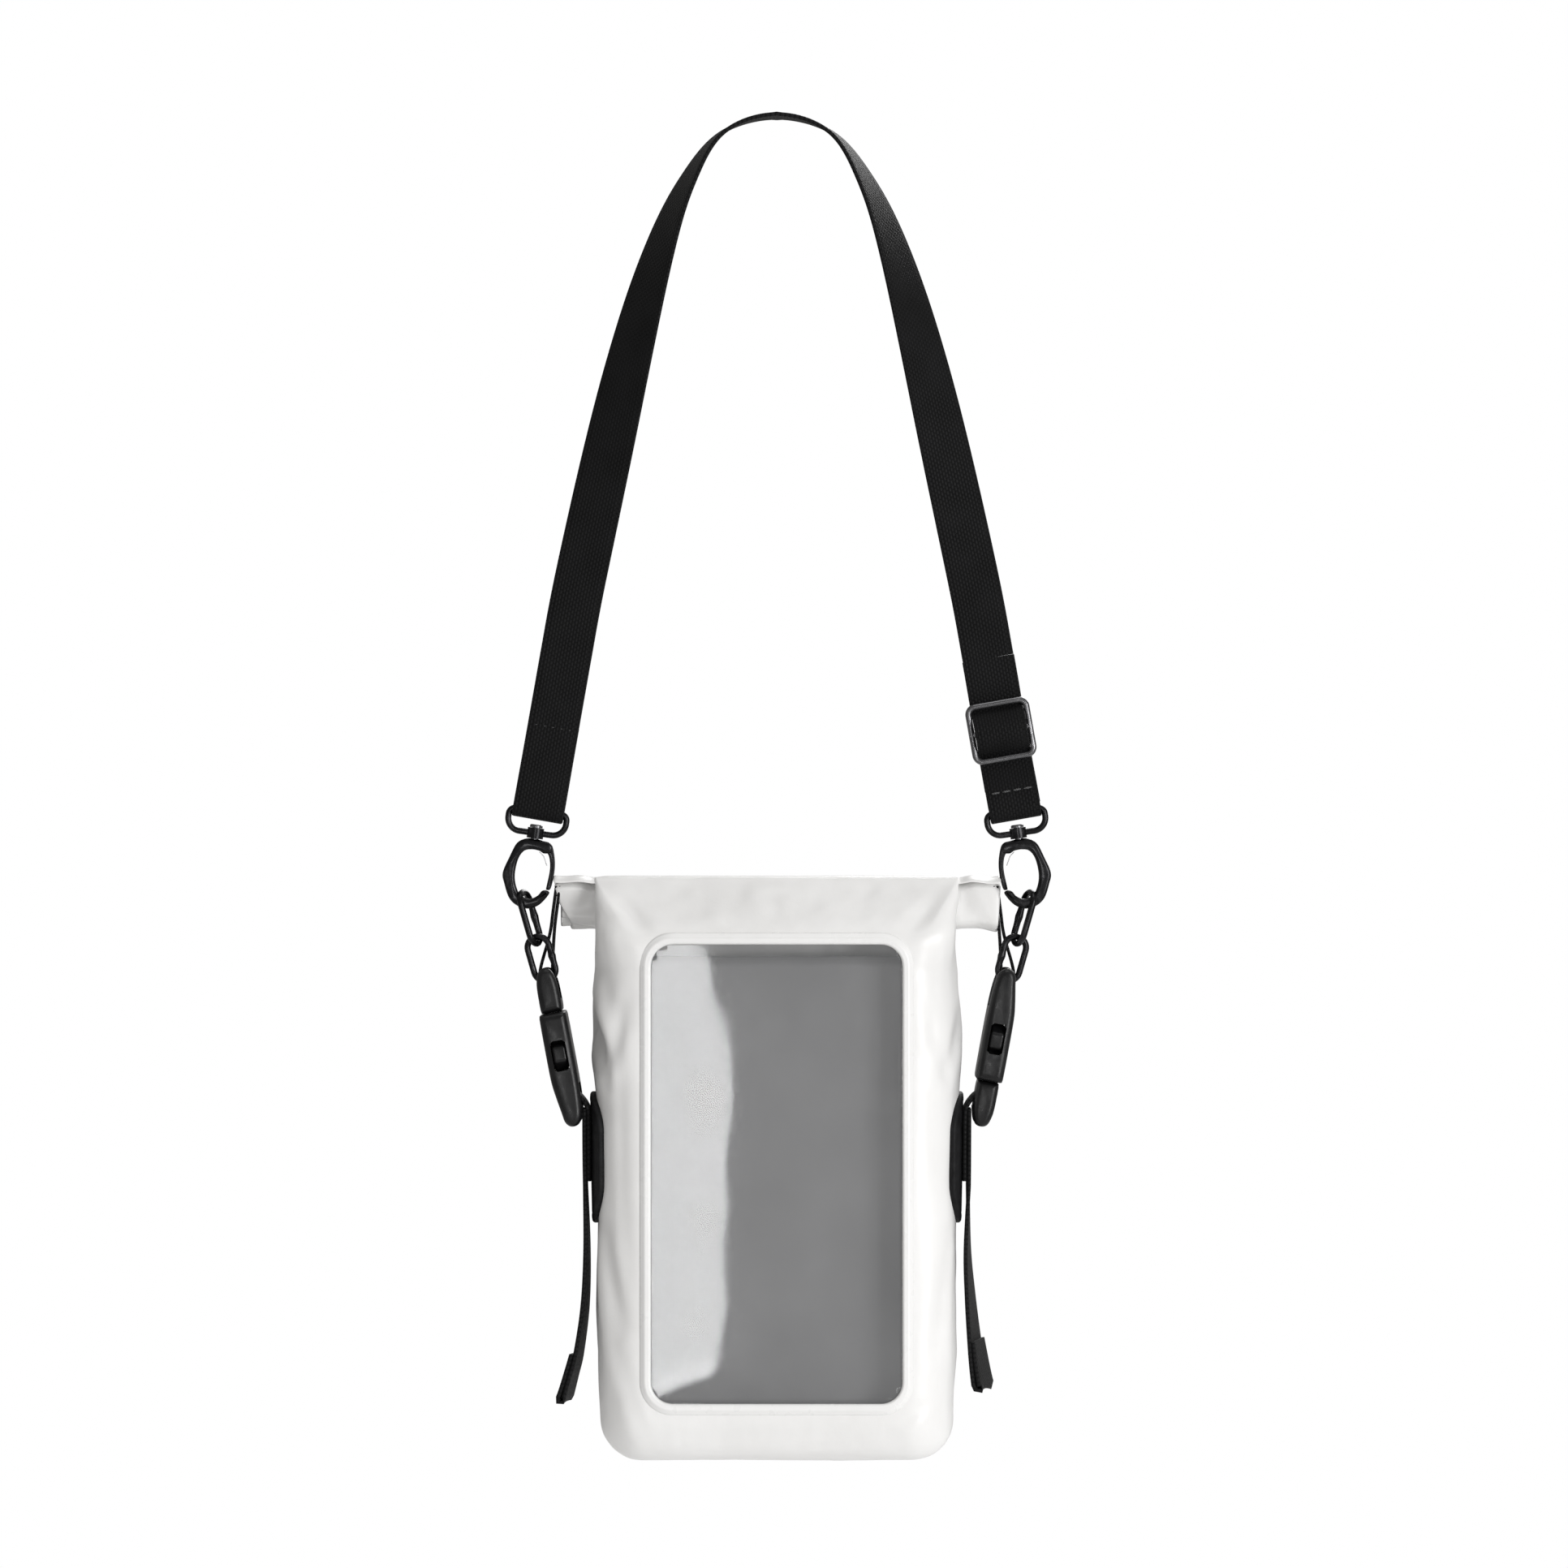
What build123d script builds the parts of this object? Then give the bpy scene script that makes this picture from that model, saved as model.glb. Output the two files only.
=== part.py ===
from build123d import *
from math import cos, radians, sin
import os

# A small roll-top dry bag with a clear phone window, hanging by its shoulder strap.
# Millimetres. The origin is where the crown of the strap hangs, +Z is up, and the window faces -Y.

# ---- driving dimensions: webbing and shoulder strap -------------------------------------------
webbing_width = 20.0
run_width = 19.4            # the webbing squeezes a little where it passes through metal
webbing_thickness = 1.6
strap_run = 60.0            # straight stretch of strap above each D loop
# half of the strap's arch from the crown down, as (distance from the middle, height)
arch_points = [(0.0, -0.8), (21.0, -7.2), (34.7, -26.0), (46.0, -54.2), (58.7, -101.3), (75.4, -176.5)]
twist_end_height = 205.0    # below the crown by this much, the webbing faces the front squarely
twist_power = 1.7

# ---- driving dimensions: hooks -----------------------------------------------------------------
bar_x = 92.4                # middle of a D loop's bar, where the strap folds round it
bar_z = -270.3
hardware_lean = 8.0         # degrees; the hooks lean outwards at the bottom
strap_lean = 10.0           # and the straight runs of the strap above them a little more
wire = 2.4                  # wire of the D loops and of the adjuster
loop_half_width = 11.3
loop_depth = 8.7
fold_gap = 1.9              # inside radius of the strap's fold round the bar
post_radius = 1.55
running_clearance = 0.05
hook_thickness = 3.8
hook_drop = 36.1            # from the bar to the middle of the hook's bottom curve
gate_hinge = (5.6, -13.6)
gate_pin_radius = 0.75
gate_thickness = 2.2

# ---- driving dimensions: adjuster on the right run of the strap --------------------------------
adjuster_height = 31.5      # above the D loop's bar
adjuster_half_width = 11.4
adjuster_half_height = 10.8
center_bar_radius = 1.1

# ---- driving dimensions: chain links and buckles -----------------------------------------------
link_wire = 2.5
link_width = 11.0
link_1_length = 23.1
link_2_length = 20.0
chain_lean = -16.0          # degrees; the chain leans inwards at the bottom
link_gap = 0.15
buckle_lean = -10.5
buckle_width = 30.0
buckle_depth = 10.5
buckle_bar_radius = 1.5
male_width = 25.0
male_depth = 8.4
halves_gap = 0.3
slot_width = 21.0           # the openings beside the end bars, which the webbing passes through
taper_start = 26.0          # the female half gets thinner from here to its end bar
taper = 2.2
joint_male_up = -15.2       # where the halves meet, below the end bar, when the male half is on top
joint_female_up = -42.5
buckle_bottom = -58.0
cavity_width = 24.0
cavity_depth = 6.6
cavity_length = 25.0
prong_pivot_out = 8.0
prong_length = 21.0
prong_thickness = 3.0
prong_height = 5.6

# ---- driving dimensions: bag --------------------------------------------------------------------
bag_width = 139.0
bag_depth = 50.0
bag_bottom = -521.3
front_shoulder = -317.0     # above this the front slopes back to the roll
back_shoulder = -342.0
bag_top = -297.0
mouth_front_y = -3.5        # the flattened mouth just under the roll
mouth_back_y = -1.4
back_slope_start = (0.6, -318.4)
side_radius = 22.0
bottom_radius = 19.5
film = 1.0
panel_half_width = 56.0     # the side panels start here
bottom_seam = bag_bottom + 14.0
window_width = 100.0
window_height = 180.0
window_radius = 10.0
window_thickness = 0.6
window_z = -410.0
rim_lap = 1.0               # how far the welded rim reaches past the window's edge
rim_width = 2.5
rim_thickness = 1.3
pocket_depth = 12.0
pocket_film = 0.8
side_gusset_gap = 0.75      # the front panel starts to curve back beside the pocket
base_gusset_gap = 0.3
roll_width = 171.4
roll_height = 22.0
roll_depth = 12.0
roll_y = 6.5
roll_z = -306.8
patch_height = 51.0
patch_width = 30.0
patch_thickness = 2.2
patch_z = -404.5
anchor_low = -413.0         # the side webbing ends here, under the patch
tail_top = -386.0
tab_width = 7.6
tab_y = 6.4
tab_thickness = 1.2
tab_play = 0.3
stiffener_height = 14.0
stiffener_thickness = 0.9

sides = {"left": -1, "right": 1}

os.makedirs("parts", exist_ok=True)


def save(piece, label):
    piece.part.label = label
    export_step(piece.part, f"parts/{label}.step")


def leaning_plane(origin, sign, lean):
    """A plane on one side of the bag: x points to the middle, y up along the lean, z along Y."""
    tilt = radians(lean)
    return Plane(origin=origin, x_dir=(-sign * cos(tilt), 0, -sin(tilt)), z_dir=(0, sign, 0))


def edge_on(plane):
    """The same place seen from the side: x is +Y, y stays up along the lean."""
    return Plane(origin=plane.origin, x_dir=(0, 1, 0), z_dir=Vector(0, 1, 0).cross(plane.y_dir))


def moved(plane, x=0.0, y=0.0):
    return Plane(origin=plane.from_local_coords((x, y, 0)), x_dir=plane.x_dir, z_dir=plane.z_dir)


def hardware_plane(sign):
    return leaning_plane((sign * bar_x, 0, bar_z), sign, hardware_lean)


def strap_plane(sign):
    return leaning_plane((sign * bar_x, 0, bar_z), sign, strap_lean)


def chain_plane(sign):
    """At the middle of the hook's bottom curve, where the first link hangs."""
    contact = hardware_plane(sign).from_local_coords((0, -hook_drop, 0))
    return leaning_plane(contact, sign, chain_lean)


def end_bar_distance():
    """From the hook's bottom curve down to the buckle's end bar, through both links."""
    link_2_top = link_1_length - link_width / 2 - 2 * link_wire - link_gap
    return link_2_top + link_2_length - link_wire - link_gap - buckle_bar_radius


def buckle_plane(sign):
    bar = chain_plane(sign).from_local_coords((0, -end_bar_distance(), 0))
    return leaning_plane(bar, sign, buckle_lean)


def ring_path(half_width, low, high):
    """A closed stadium line between two heights."""
    Line((-half_width, low), (-half_width, high))
    ThreePointArc((-half_width, high), (0, high + half_width), (half_width, high))
    Line((half_width, high), (half_width, low))
    ThreePointArc((half_width, low), (0, low - half_width), (-half_width, low))


# ---- shoulder strap -----------------------------------------------------------------------------
def twist_at(height):
    """Degrees that the webbing has turned from edge-on at the crown to face-on at the hooks."""
    left = max(0.0, 1.0 - abs(height) / twist_end_height)
    return 90.0 * (1.0 - left ** twist_power)


def strap_section(point, along, width):
    """One cross-section of the webbing, square to its route."""
    outward = Vector(along.Z, 0, -along.X).normalized()
    if outward.X * point.X < 0:
        outward = outward * -1
    turn = radians(twist_at(point.Z))
    across = Vector(0, 1, 0) * cos(turn) + outward * sin(turn)
    across = (across - along * across.dot(along)).normalized()
    with BuildSketch(Plane(origin=point, x_dir=across, z_dir=along)) as section:
        Rectangle(width, webbing_thickness)
    return section.sketch


arch = [Vector(sign * x, 0, z) for sign, x, z in
        [(-1, x, z) for x, z in reversed(arch_points[1:])] + [(1, x, z) for x, z in arch_points]]
run_tops = [strap_plane(sign).from_local_coords((0, strap_run, 0)) for sign in (-1, 1)]
arch = [run_tops[0]] + arch + [run_tops[1]]
arch_stations = 30

with BuildLine() as arch_line:
    Spline(*arch, tangents=[strap_plane(-1).y_dir, strap_plane(1).y_dir * -1])
with BuildPart() as shoulder_strap:
    for station in range(arch_stations + 1):
        place = station / arch_stations
        at_an_end = station in (0, arch_stations)
        width = run_width if at_an_end else webbing_width
        add(strap_section(arch_line.line @ place, arch_line.line % place, width))
    loft(ruled=True)
save(shoulder_strap, "shoulder_strap")

fold_layer = fold_gap + webbing_thickness / 2
half_web = webbing_thickness / 2

with BuildPart() as strap_left_run:
    with BuildSketch(edge_on(strap_plane(-1))):
        with BuildLine():
            Polyline((0, strap_run), (0, 24), (-fold_layer, 6), (-fold_layer, 0))
        trace(line_width=webbing_thickness)
    extrude(amount=run_width / 2, both=True)
save(strap_left_run, "strap_left_run")

for side, sign in sides.items():
    back_top = 34.0 if side == "left" else 9.0
    with BuildPart() as strap_fold:
        with BuildSketch(edge_on(strap_plane(sign))):
            with BuildLine():
                ThreePointArc((-fold_layer, 0), (0, -fold_layer), (fold_layer, 0))
                if side == "left":
                    Polyline((fold_layer, 0), (fold_layer, 6), (webbing_thickness + 0.05, 24),
                             (webbing_thickness + 0.05, back_top))
                else:
                    Line((fold_layer, 0), (fold_layer, back_top))
            trace(line_width=webbing_thickness)
        extrude(amount=run_width / 2, both=True)
    save(strap_fold, f"strap_{side}_fold")

# The right run weaves through the adjuster: behind its top bar, over the middle, behind its bottom bar.
weave_front = center_bar_radius + 0.05 + webbing_thickness + half_web + 0.1
weave_back = wire / 2 + half_web + 0.15
middle = adjuster_height
with BuildPart() as strap_right_run:
    with BuildSketch(edge_on(strap_plane(1))):
        with BuildLine():
            Polyline((0, strap_run), (0, middle + 19), (weave_back, middle + 12.3), (weave_back, middle + 8.6),
                     (-weave_front, middle + 3.1), (-weave_front, middle - 3.1),
                     (weave_back, middle - 8.6), (weave_back, middle - 12.3),
                     (-fold_layer, 6), (-fold_layer, 0))
        trace(line_width=webbing_thickness)
    extrude(amount=run_width / 2, both=True)
save(strap_right_run, "strap_right_run")

# The end of the strap comes back up behind, round the adjuster's centre bar, and is sewn there.
sewn_back = weave_back + webbing_thickness + 0.1
loop_radius = center_bar_radius + 0.05 + half_web
with BuildPart() as strap_return:
    with BuildSketch(edge_on(strap_plane(1))):
        with BuildLine():
            Polyline((fold_layer, 9.05), (fold_layer, 10), (sewn_back, 16.5), (sewn_back, middle - 9.0))
        trace(line_width=webbing_thickness)
    extrude(amount=run_width / 2, both=True)
save(strap_return, "strap_return_layer")

with BuildPart() as sewn_end:
    with BuildSketch(edge_on(moved(strap_plane(1), y=middle))):
        Circle(loop_radius + half_web)
        Circle(loop_radius - half_web, mode=Mode.SUBTRACT)
        with BuildLine():
            Polyline((loop_radius, 0), (sewn_back, -6), (sewn_back, -8.95))
        trace(line_width=webbing_thickness)
        Circle(loop_radius - half_web, mode=Mode.SUBTRACT)
    extrude(amount=run_width / 2, both=True)
save(sewn_end, "strap_sewn_end")

# Rows of thick thread: a stop row below the adjuster, and the box seam of the left fold.
thread = 0.7
with BuildPart() as stop_stitches:
    row = moved(strap_plane(1), y=8.0)
    with BuildSketch(row.offset(-(fold_layer + half_web + 0.02))):
        with GridLocations(4.2, 1, 4, 1):
            SlotOverall(2.9, thread)
    extrude(amount=-0.45)
save(stop_stitches, "stop_stitches")
with BuildPart() as fold_stitches:
    row = moved(strap_plane(-1), y=28.5)
    with BuildSketch(row.offset(-(1.5 * webbing_thickness + 0.07))):
        with GridLocations(3.2, 7.0, 5, 2):
            SlotOverall(2.2, thread)
    extrude(amount=-0.4)
save(fold_stitches, "fold_stitches")

# ---- adjuster -----------------------------------------------------------------------------------
adjuster_plane = moved(strap_plane(1), y=middle)
with BuildPart() as adjuster_frame:
    with BuildLine(adjuster_plane) as frame_line:
        FilletPolyline((adjuster_half_width, adjuster_half_height),
                       (adjuster_half_width, -adjuster_half_height),
                       (-adjuster_half_width, -adjuster_half_height),
                       (-adjuster_half_width, adjuster_half_height), radius=3.0, close=True)
    with BuildSketch(Plane(origin=frame_line.line @ 0, z_dir=frame_line.line % 0)):
        Circle(wire / 2)
    sweep()
    with BuildSketch(Plane(origin=adjuster_plane.origin, z_dir=adjuster_plane.x_dir)):
        Circle(center_bar_radius)
    extrude(amount=adjuster_half_width + wire, both=True, mode=Mode.SUBTRACT)
save(adjuster_frame, "adjuster_frame")
with BuildPart() as adjuster_bar:
    with BuildSketch(Plane(origin=adjuster_plane.origin, z_dir=adjuster_plane.x_dir)):
        Circle(center_bar_radius)
    extrude(amount=adjuster_half_width + wire / 2, both=True)
save(adjuster_bar, "adjuster_center_bar")

# ---- swivel snap hooks --------------------------------------------------------------------------
boss_radius = 3.2
boss_top = -6.7
boss_bottom = -10.8
neck_top = -11.4


def along_axis(plane, height):
    """A plane across the swivel's axis, facing up along it."""
    return Plane(origin=plane.from_local_coords((0, height, 0)), x_dir=plane.x_dir, z_dir=plane.y_dir)


for side, sign in sides.items():
    frame = hardware_plane(sign)

    with BuildPart() as d_loop:
        with BuildLine(frame) as loop_line:
            FilletPolyline((loop_half_width, 0), (loop_half_width, -loop_depth),
                           (-loop_half_width, -loop_depth), (-loop_half_width, 0),
                           radius=[2.6, 5.0, 5.0, 2.6], close=True)
        with BuildSketch(Plane(origin=loop_line.line @ 0, z_dir=loop_line.line % 0)):
            Circle(wire / 2)
        sweep()
        with BuildSketch(along_axis(frame, boss_bottom)):
            Circle(boss_radius)
        extrude(amount=boss_top - boss_bottom)
        with BuildSketch(along_axis(frame, boss_bottom)):
            Circle(post_radius + running_clearance)
        extrude(amount=boss_top - boss_bottom, mode=Mode.SUBTRACT)
    save(d_loop, f"{side}_d_loop")

    with BuildPart() as swivel_post:
        with BuildSketch(along_axis(frame, neck_top)):
            Circle(post_radius)
        extrude(amount=boss_top - neck_top + 0.2)
        with BuildSketch(along_axis(frame, boss_top + 0.1)):
            Circle(2.5)
        extrude(amount=1.2)
        fillet(swivel_post.edges().sort_by(Axis((0, 0, 0), frame.y_dir))[-1], 0.6)
    save(swivel_post, f"{side}_swivel_post")

    with BuildPart() as hook:
        with BuildSketch(frame):
            with BuildLine():
                Line((3.4, neck_top), (-3.4, neck_top))
                Spline((-3.4, neck_top), (-7.6, -14.4), (-9.2, -26.0), (-6.0, -35.2), (0, -38.1),
                       (5.6, -35.8), (8.4, -31.0))
                Line((8.4, -31.0), (5.4, -30.4))
                Spline((5.4, -30.4), (3.2, -33.0), (0, -34.1), (-3.9, -31.6), (-5.2, -25.5),
                       (-4.3, -17.8), (-1.6, -15.2), (2.4, -15.2))
                Polyline((2.4, -15.2), (4.2, -16.0), (7.2, -15.4), (7.4, -12.6), (3.4, neck_top))
            make_face()
        extrude(amount=hook_thickness / 2, both=True)
        rim = hook.faces().filter_by(Axis.Y).edges()
        chamfer(rim.group_by(SortBy.LENGTH)[-1], 0.8)
        with BuildSketch(frame):
            with Locations(gate_hinge):
                Circle(gate_pin_radius)
        extrude(amount=hook_thickness, both=True, mode=Mode.SUBTRACT)
        with BuildSketch(frame):
            with Locations((gate_hinge[0] + 0.9, gate_hinge[1] - 0.2)):
                Rectangle(5.4, 5.0)
        extrude(amount=gate_thickness / 2 + 0.15, both=True, mode=Mode.SUBTRACT)
    save(hook, f"{side}_hook")

    with BuildPart() as gate:
        with BuildSketch(frame):
            with BuildLine():
                Spline((gate_hinge[0] + 1.3, gate_hinge[1] - 0.4), (9.0, -18.4), (9.2, -24.0),
                       (8.3, -29.6))
                Line((8.3, -29.6), (6.0, -29.2))
                Spline((6.0, -29.2), (6.8, -24.0), (6.6, -19.0),
                       (gate_hinge[0] - 0.8, gate_hinge[1] - 0.6))
                Line((gate_hinge[0] - 0.8, gate_hinge[1] - 0.6),
                     (gate_hinge[0] + 1.3, gate_hinge[1] - 0.4))
            make_face()
            with Locations(gate_hinge):
                Circle(1.55)
            with Locations(gate_hinge):
                Circle(gate_pin_radius + running_clearance, mode=Mode.SUBTRACT)
        extrude(amount=gate_thickness / 2, both=True)
    save(gate, f"{side}_gate")

    with BuildPart() as gate_pin:
        with BuildSketch(frame):
            with Locations(gate_hinge):
                Circle(gate_pin_radius)
        extrude(amount=hook_thickness / 2, both=True)
    save(gate_pin, f"{side}_gate_pin")

    with BuildPart() as gate_spring:
        with BuildSketch(frame):
            with BuildLine():
                Polyline((2.6, -15.75), (4.4, -17.2), (6.15, -20.6))
            trace(line_width=0.3)
        extrude(amount=0.9, both=True)
    save(gate_spring, f"{side}_gate_spring")

# ---- chain links --------------------------------------------------------------------------------
for side, sign in sides.items():
    chain = chain_plane(sign)
    arc_radius = (link_width - link_wire) / 2
    low_1 = -(link_1_length - link_width)
    with BuildPart() as link_1:
        with BuildLine(edge_on(chain)) as link_line:
            ring_path(arc_radius, low_1, 0)
        with BuildSketch(Plane(origin=link_line.line @ 0, z_dir=link_line.line % 0)):
            Circle(link_wire / 2)
        sweep()
    save(link_1, f"{side}_link_1")

    top_outer_2 = -(link_1_length - link_width / 2 - 2 * link_wire - link_gap)
    high_2 = top_outer_2 - link_width / 2
    low_2 = high_2 - (link_2_length - link_width)
    with BuildPart() as link_2:
        with BuildLine(chain) as link_line:
            ring_path(arc_radius, low_2, high_2)
        with BuildSketch(Plane(origin=link_line.line @ 0, z_dir=link_line.line % 0)):
            Circle(link_wire / 2)
        sweep()
    save(link_2, f"{side}_link_2")

# ---- side-release buckles -----------------------------------------------------------------------
# Each buckle is drawn down its own axis: 0 is the end bar that the chain hangs from.


def block(plane, width, depth, low, high, mode=Mode.ADD):
    """A box on the buckle's axis, width along Y and depth across it, between two heights."""
    with BuildSketch(plane.offset(-width / 2)) as profile:
        with Locations((0, (low + high) / 2)):
            Rectangle(depth, high - low)
    extrude(profile.sketch, amount=width, mode=mode)


def cross_bar(plane, radius, width, height, out=0.0):
    """A round bar along Y."""
    with BuildSketch(plane.offset(-width / 2)) as profile:
        with Locations((out, height)):
            Circle(radius)
    extrude(profile.sketch, amount=width)


def flip(plane, height):
    """The plane turned end for end about a height on its axis."""
    origin = plane.from_local_coords((0, height, 0))
    return Plane(origin=origin, x_dir=plane.x_dir, z_dir=plane.z_dir * -1)


def soften(part, along_y, at_sides):
    """Rounds the block's edges that run along Y, and bevels its two side faces."""
    fillet(part.edges().filter_by(Axis.Y), along_y)
    side_faces = part.faces().sort_by(Axis.Y)
    chamfer(side_faces[0].edges() + side_faces[-1].edges(), at_sides)



for side, sign in sides.items():
    axis = buckle_plane(sign)
    male_on_top = side == "left"
    joint = joint_male_up if male_on_top else joint_female_up
    # Both halves are drawn from the joint: the male half's own "up" points away from the female half.
    male = moved(axis, y=joint) if male_on_top else flip(axis, joint)
    female = flip(axis, joint - halves_gap) if male_on_top else moved(axis, y=joint + halves_gap)
    male_end = -joint if male_on_top else joint - buckle_bottom
    female_end = joint - halves_gap - buckle_bottom if male_on_top else -joint - halves_gap

    with BuildPart() as buckle_male:
        block(male, male_width, male_depth, 0.0, male_end)
        soften(buckle_male, 1.6, 0.7)
        block(male, slot_width, male_depth + 1, 4.6, male_end + 3, mode=Mode.SUBTRACT)
        cross_bar(male, buckle_bar_radius, male_width - 1, male_end)
        if not male_on_top:
            cross_bar(male, buckle_bar_radius, male_width - 1, 8.0, out=1.6)
        block(male, 4.4, 3.2, -17.0, 0.0)
    save(buckle_male, f"{side}_buckle_male")

    with BuildPart() as buckle_female:
        block(female, buckle_width, buckle_depth, 0.0, female_end)
        soften(buckle_female, 3.4, 0.8)
        with BuildSketch(female.offset(-buckle_width)) as wedge:
            Polygon((-buckle_depth / 2, taper_start), (-buckle_depth / 2 + taper, female_end + 1),
                    (-buckle_depth, female_end + 1), (-buckle_depth, taper_start), align=None)
        extrude(wedge.sketch, amount=2 * buckle_width, mode=Mode.SUBTRACT)
        block(female, cavity_width, cavity_depth, -1.0, cavity_length, mode=Mode.SUBTRACT)
        block(female, buckle_width + 2, cavity_depth - 0.4, 11.0, 23.4, mode=Mode.SUBTRACT)
        block(female, slot_width, buckle_depth + 1, cavity_length + 3.4, female_end + 3,
              mode=Mode.SUBTRACT)
        cross_bar(female, buckle_bar_radius, buckle_width - 2, female_end)
        if male_on_top:
            cross_bar(female, buckle_bar_radius, buckle_width - 2, cavity_length + 9.8, out=1.6)
    save(buckle_female, f"{side}_buckle_female")

    for prong_name, direction in {"front": -1, "back": 1}.items():
        prong_plane = edge_on(male)
        with BuildPart() as prong:
            with BuildSketch(prong_plane.offset(-prong_height / 2)):
                with BuildLine():
                    root = direction * prong_pivot_out
                    inner = root - direction * prong_thickness / 2
                    outer = root + direction * prong_thickness / 2
                    Polyline((outer, -1.9), (outer, -12.0), (outer + direction * 4.6, -13.2),
                             (outer + direction * 5.0, -19.0), (outer, -prong_length - 1.9),
                             (inner, -prong_length), (inner, -1.9), (outer, -1.9))
                make_face()
                with Locations((root, -1.9)):
                    Circle(prong_thickness / 2)
            extrude(amount=prong_height)
        save(prong, f"{side}_{prong_name}_prong")

# ---- bag ----------------------------------------------------------------------------------------


def bag_body(grow, mode=Mode.ADD):
    """The bag's outer shape, grown outwards by a distance; the film is the gap between two of them."""
    with BuildSketch(Plane.XY.offset(bag_bottom - grow)) as plan:
        RectangleRounded(bag_width + 2 * grow, bag_depth + 2 * grow, side_radius + grow)
    blank = extrude(plan.sketch, amount=bag_top - bag_bottom + grow, mode=Mode.PRIVATE)
    blank = blank.fillet(bottom_radius + grow, blank.faces().sort_by(Axis.Z)[0].edges())
    front = -bag_depth / 2 - grow
    back = bag_depth / 2 + grow
    with BuildSketch(Plane.YZ.offset(-bag_width)) as side_view:
        with BuildLine():
            Polyline((front, bag_bottom - grow), (front, front_shoulder),
                     (mouth_front_y - grow, bag_top), (mouth_back_y + grow, bag_top),
                     (back_slope_start[0] + grow, back_slope_start[1]), (back, back_shoulder),
                     (back, bag_bottom - grow),
                     (front, bag_bottom - grow))
        make_face()
    profile = extrude(side_view.sketch, amount=2 * bag_width, mode=Mode.PRIVATE)
    add(blank & profile, mode=mode)


def zone(x_range, y_range, z_range):
    """A box between two limits on each axis, which cuts a panel out of the bag's film."""
    with BuildSketch(Plane.XY.offset(z_range[0])) as plan:
        with Locations(((x_range[0] + x_range[1]) / 2, (y_range[0] + y_range[1]) / 2)):
            Rectangle(x_range[1] - x_range[0], y_range[1] - y_range[0])
    extrude(plan.sketch, amount=z_range[1] - z_range[0], mode=Mode.INTERSECT)


far = bag_width
panels = {
    "front_panel": ((-panel_half_width, panel_half_width), (-far, -10), (bottom_seam, front_shoulder)),
    "back_panel": ((-panel_half_width, panel_half_width), (10, far), (bottom_seam, back_shoulder)),
    "left_side_panel": ((-far, -panel_half_width), (-far, far), (bottom_seam, back_shoulder)),
    "right_side_panel": ((panel_half_width, far), (-far, far), (bottom_seam, back_shoulder)),
    "bottom_panel": ((-far, far), (-far, far), (bag_bottom - 1, bottom_seam)),
}
for label, limits in panels.items():
    with BuildPart() as panel:
        bag_body(0)
        bag_body(-film, mode=Mode.SUBTRACT)
        zone(*limits)
        if label == "front_panel":
            with BuildSketch(Plane.XZ.offset(bag_depth)):
                with Locations((0, window_z)):
                    RectangleRounded(window_width, window_height, window_radius)
            extrude(amount=-bag_depth, mode=Mode.SUBTRACT)
    save(panel, label)

# The collar narrows to the mouth: its front half also takes in the strip beside the shoulders.
with BuildPart() as collar:
    bag_body(0)
    bag_body(-film, mode=Mode.SUBTRACT)
    zone((-far, far), (-far, far), (back_shoulder, bag_top + 1))
    with BuildSketch(Plane.XZ.offset(0)):
        with Locations((0, (back_shoulder + front_shoulder) / 2)):
            Rectangle(2 * panel_half_width, front_shoulder - back_shoulder)
    extrude(amount=bag_depth, mode=Mode.SUBTRACT)
save(collar, "collar")

# The clear window fills the panel's cut-out, and a raised rim is welded over their joint.
with BuildPart() as phone_window:
    with BuildSketch(Plane.XZ.offset(bag_depth / 2)):
        with Locations((0, window_z)):
            RectangleRounded(window_width, window_height, window_radius)
    extrude(amount=-window_thickness)
save(phone_window, "phone_window")

with BuildPart() as window_rim:
    with BuildSketch(Plane.XZ.offset(bag_depth / 2)):
        with Locations((0, window_z)):
            RectangleRounded(window_width + 2 * rim_lap, window_height + 2 * rim_lap,
                             window_radius + rim_lap)
            RectangleRounded(window_width + 2 * (rim_lap - rim_width),
                             window_height + 2 * (rim_lap - rim_width),
                             window_radius + rim_lap - rim_width, mode=Mode.SUBTRACT)
    extrude(amount=rim_thickness)
    fillet(window_rim.faces().filter_by(Axis.Y).sort_by(Axis.Y)[0].edges(), 0.5)
save(window_rim, "window_rim")

# Behind the window a sheet and its gussets make the phone's pocket, open at the top.
front_inside = -bag_depth / 2 + film
pocket_half = window_width / 2 + 1.2
pocket_back = front_inside + pocket_depth
pocket_low = window_z - window_height / 2 - 2.0
pocket_high = window_z + window_height / 2 - 6.0
with BuildPart() as pocket_backing:
    with BuildSketch(Plane.XZ.offset(-pocket_back)):
        with Locations((0, (pocket_low + pocket_high) / 2)):
            Rectangle(2 * (pocket_half + pocket_film), pocket_high - pocket_low + 2 * pocket_film)
    extrude(amount=-pocket_film)
save(pocket_backing, "pocket_backing")
with BuildPart() as pocket_gussets:
    with BuildSketch(Plane.XY.offset(pocket_low)):
        with Locations((-pocket_half - pocket_film / 2, (front_inside + side_gusset_gap + pocket_back) / 2),
                       (pocket_half + pocket_film / 2, (front_inside + side_gusset_gap + pocket_back) / 2)):
            Rectangle(pocket_film, pocket_depth - side_gusset_gap)
    extrude(amount=pocket_high - pocket_low)
    with BuildSketch(Plane.XY.offset(pocket_low)):
        with Locations((0, (front_inside + base_gusset_gap + pocket_back) / 2)):
            Rectangle(2 * pocket_half, pocket_depth - base_gusset_gap)
    extrude(amount=pocket_film)
save(pocket_gussets, "pocket_gussets")

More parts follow.
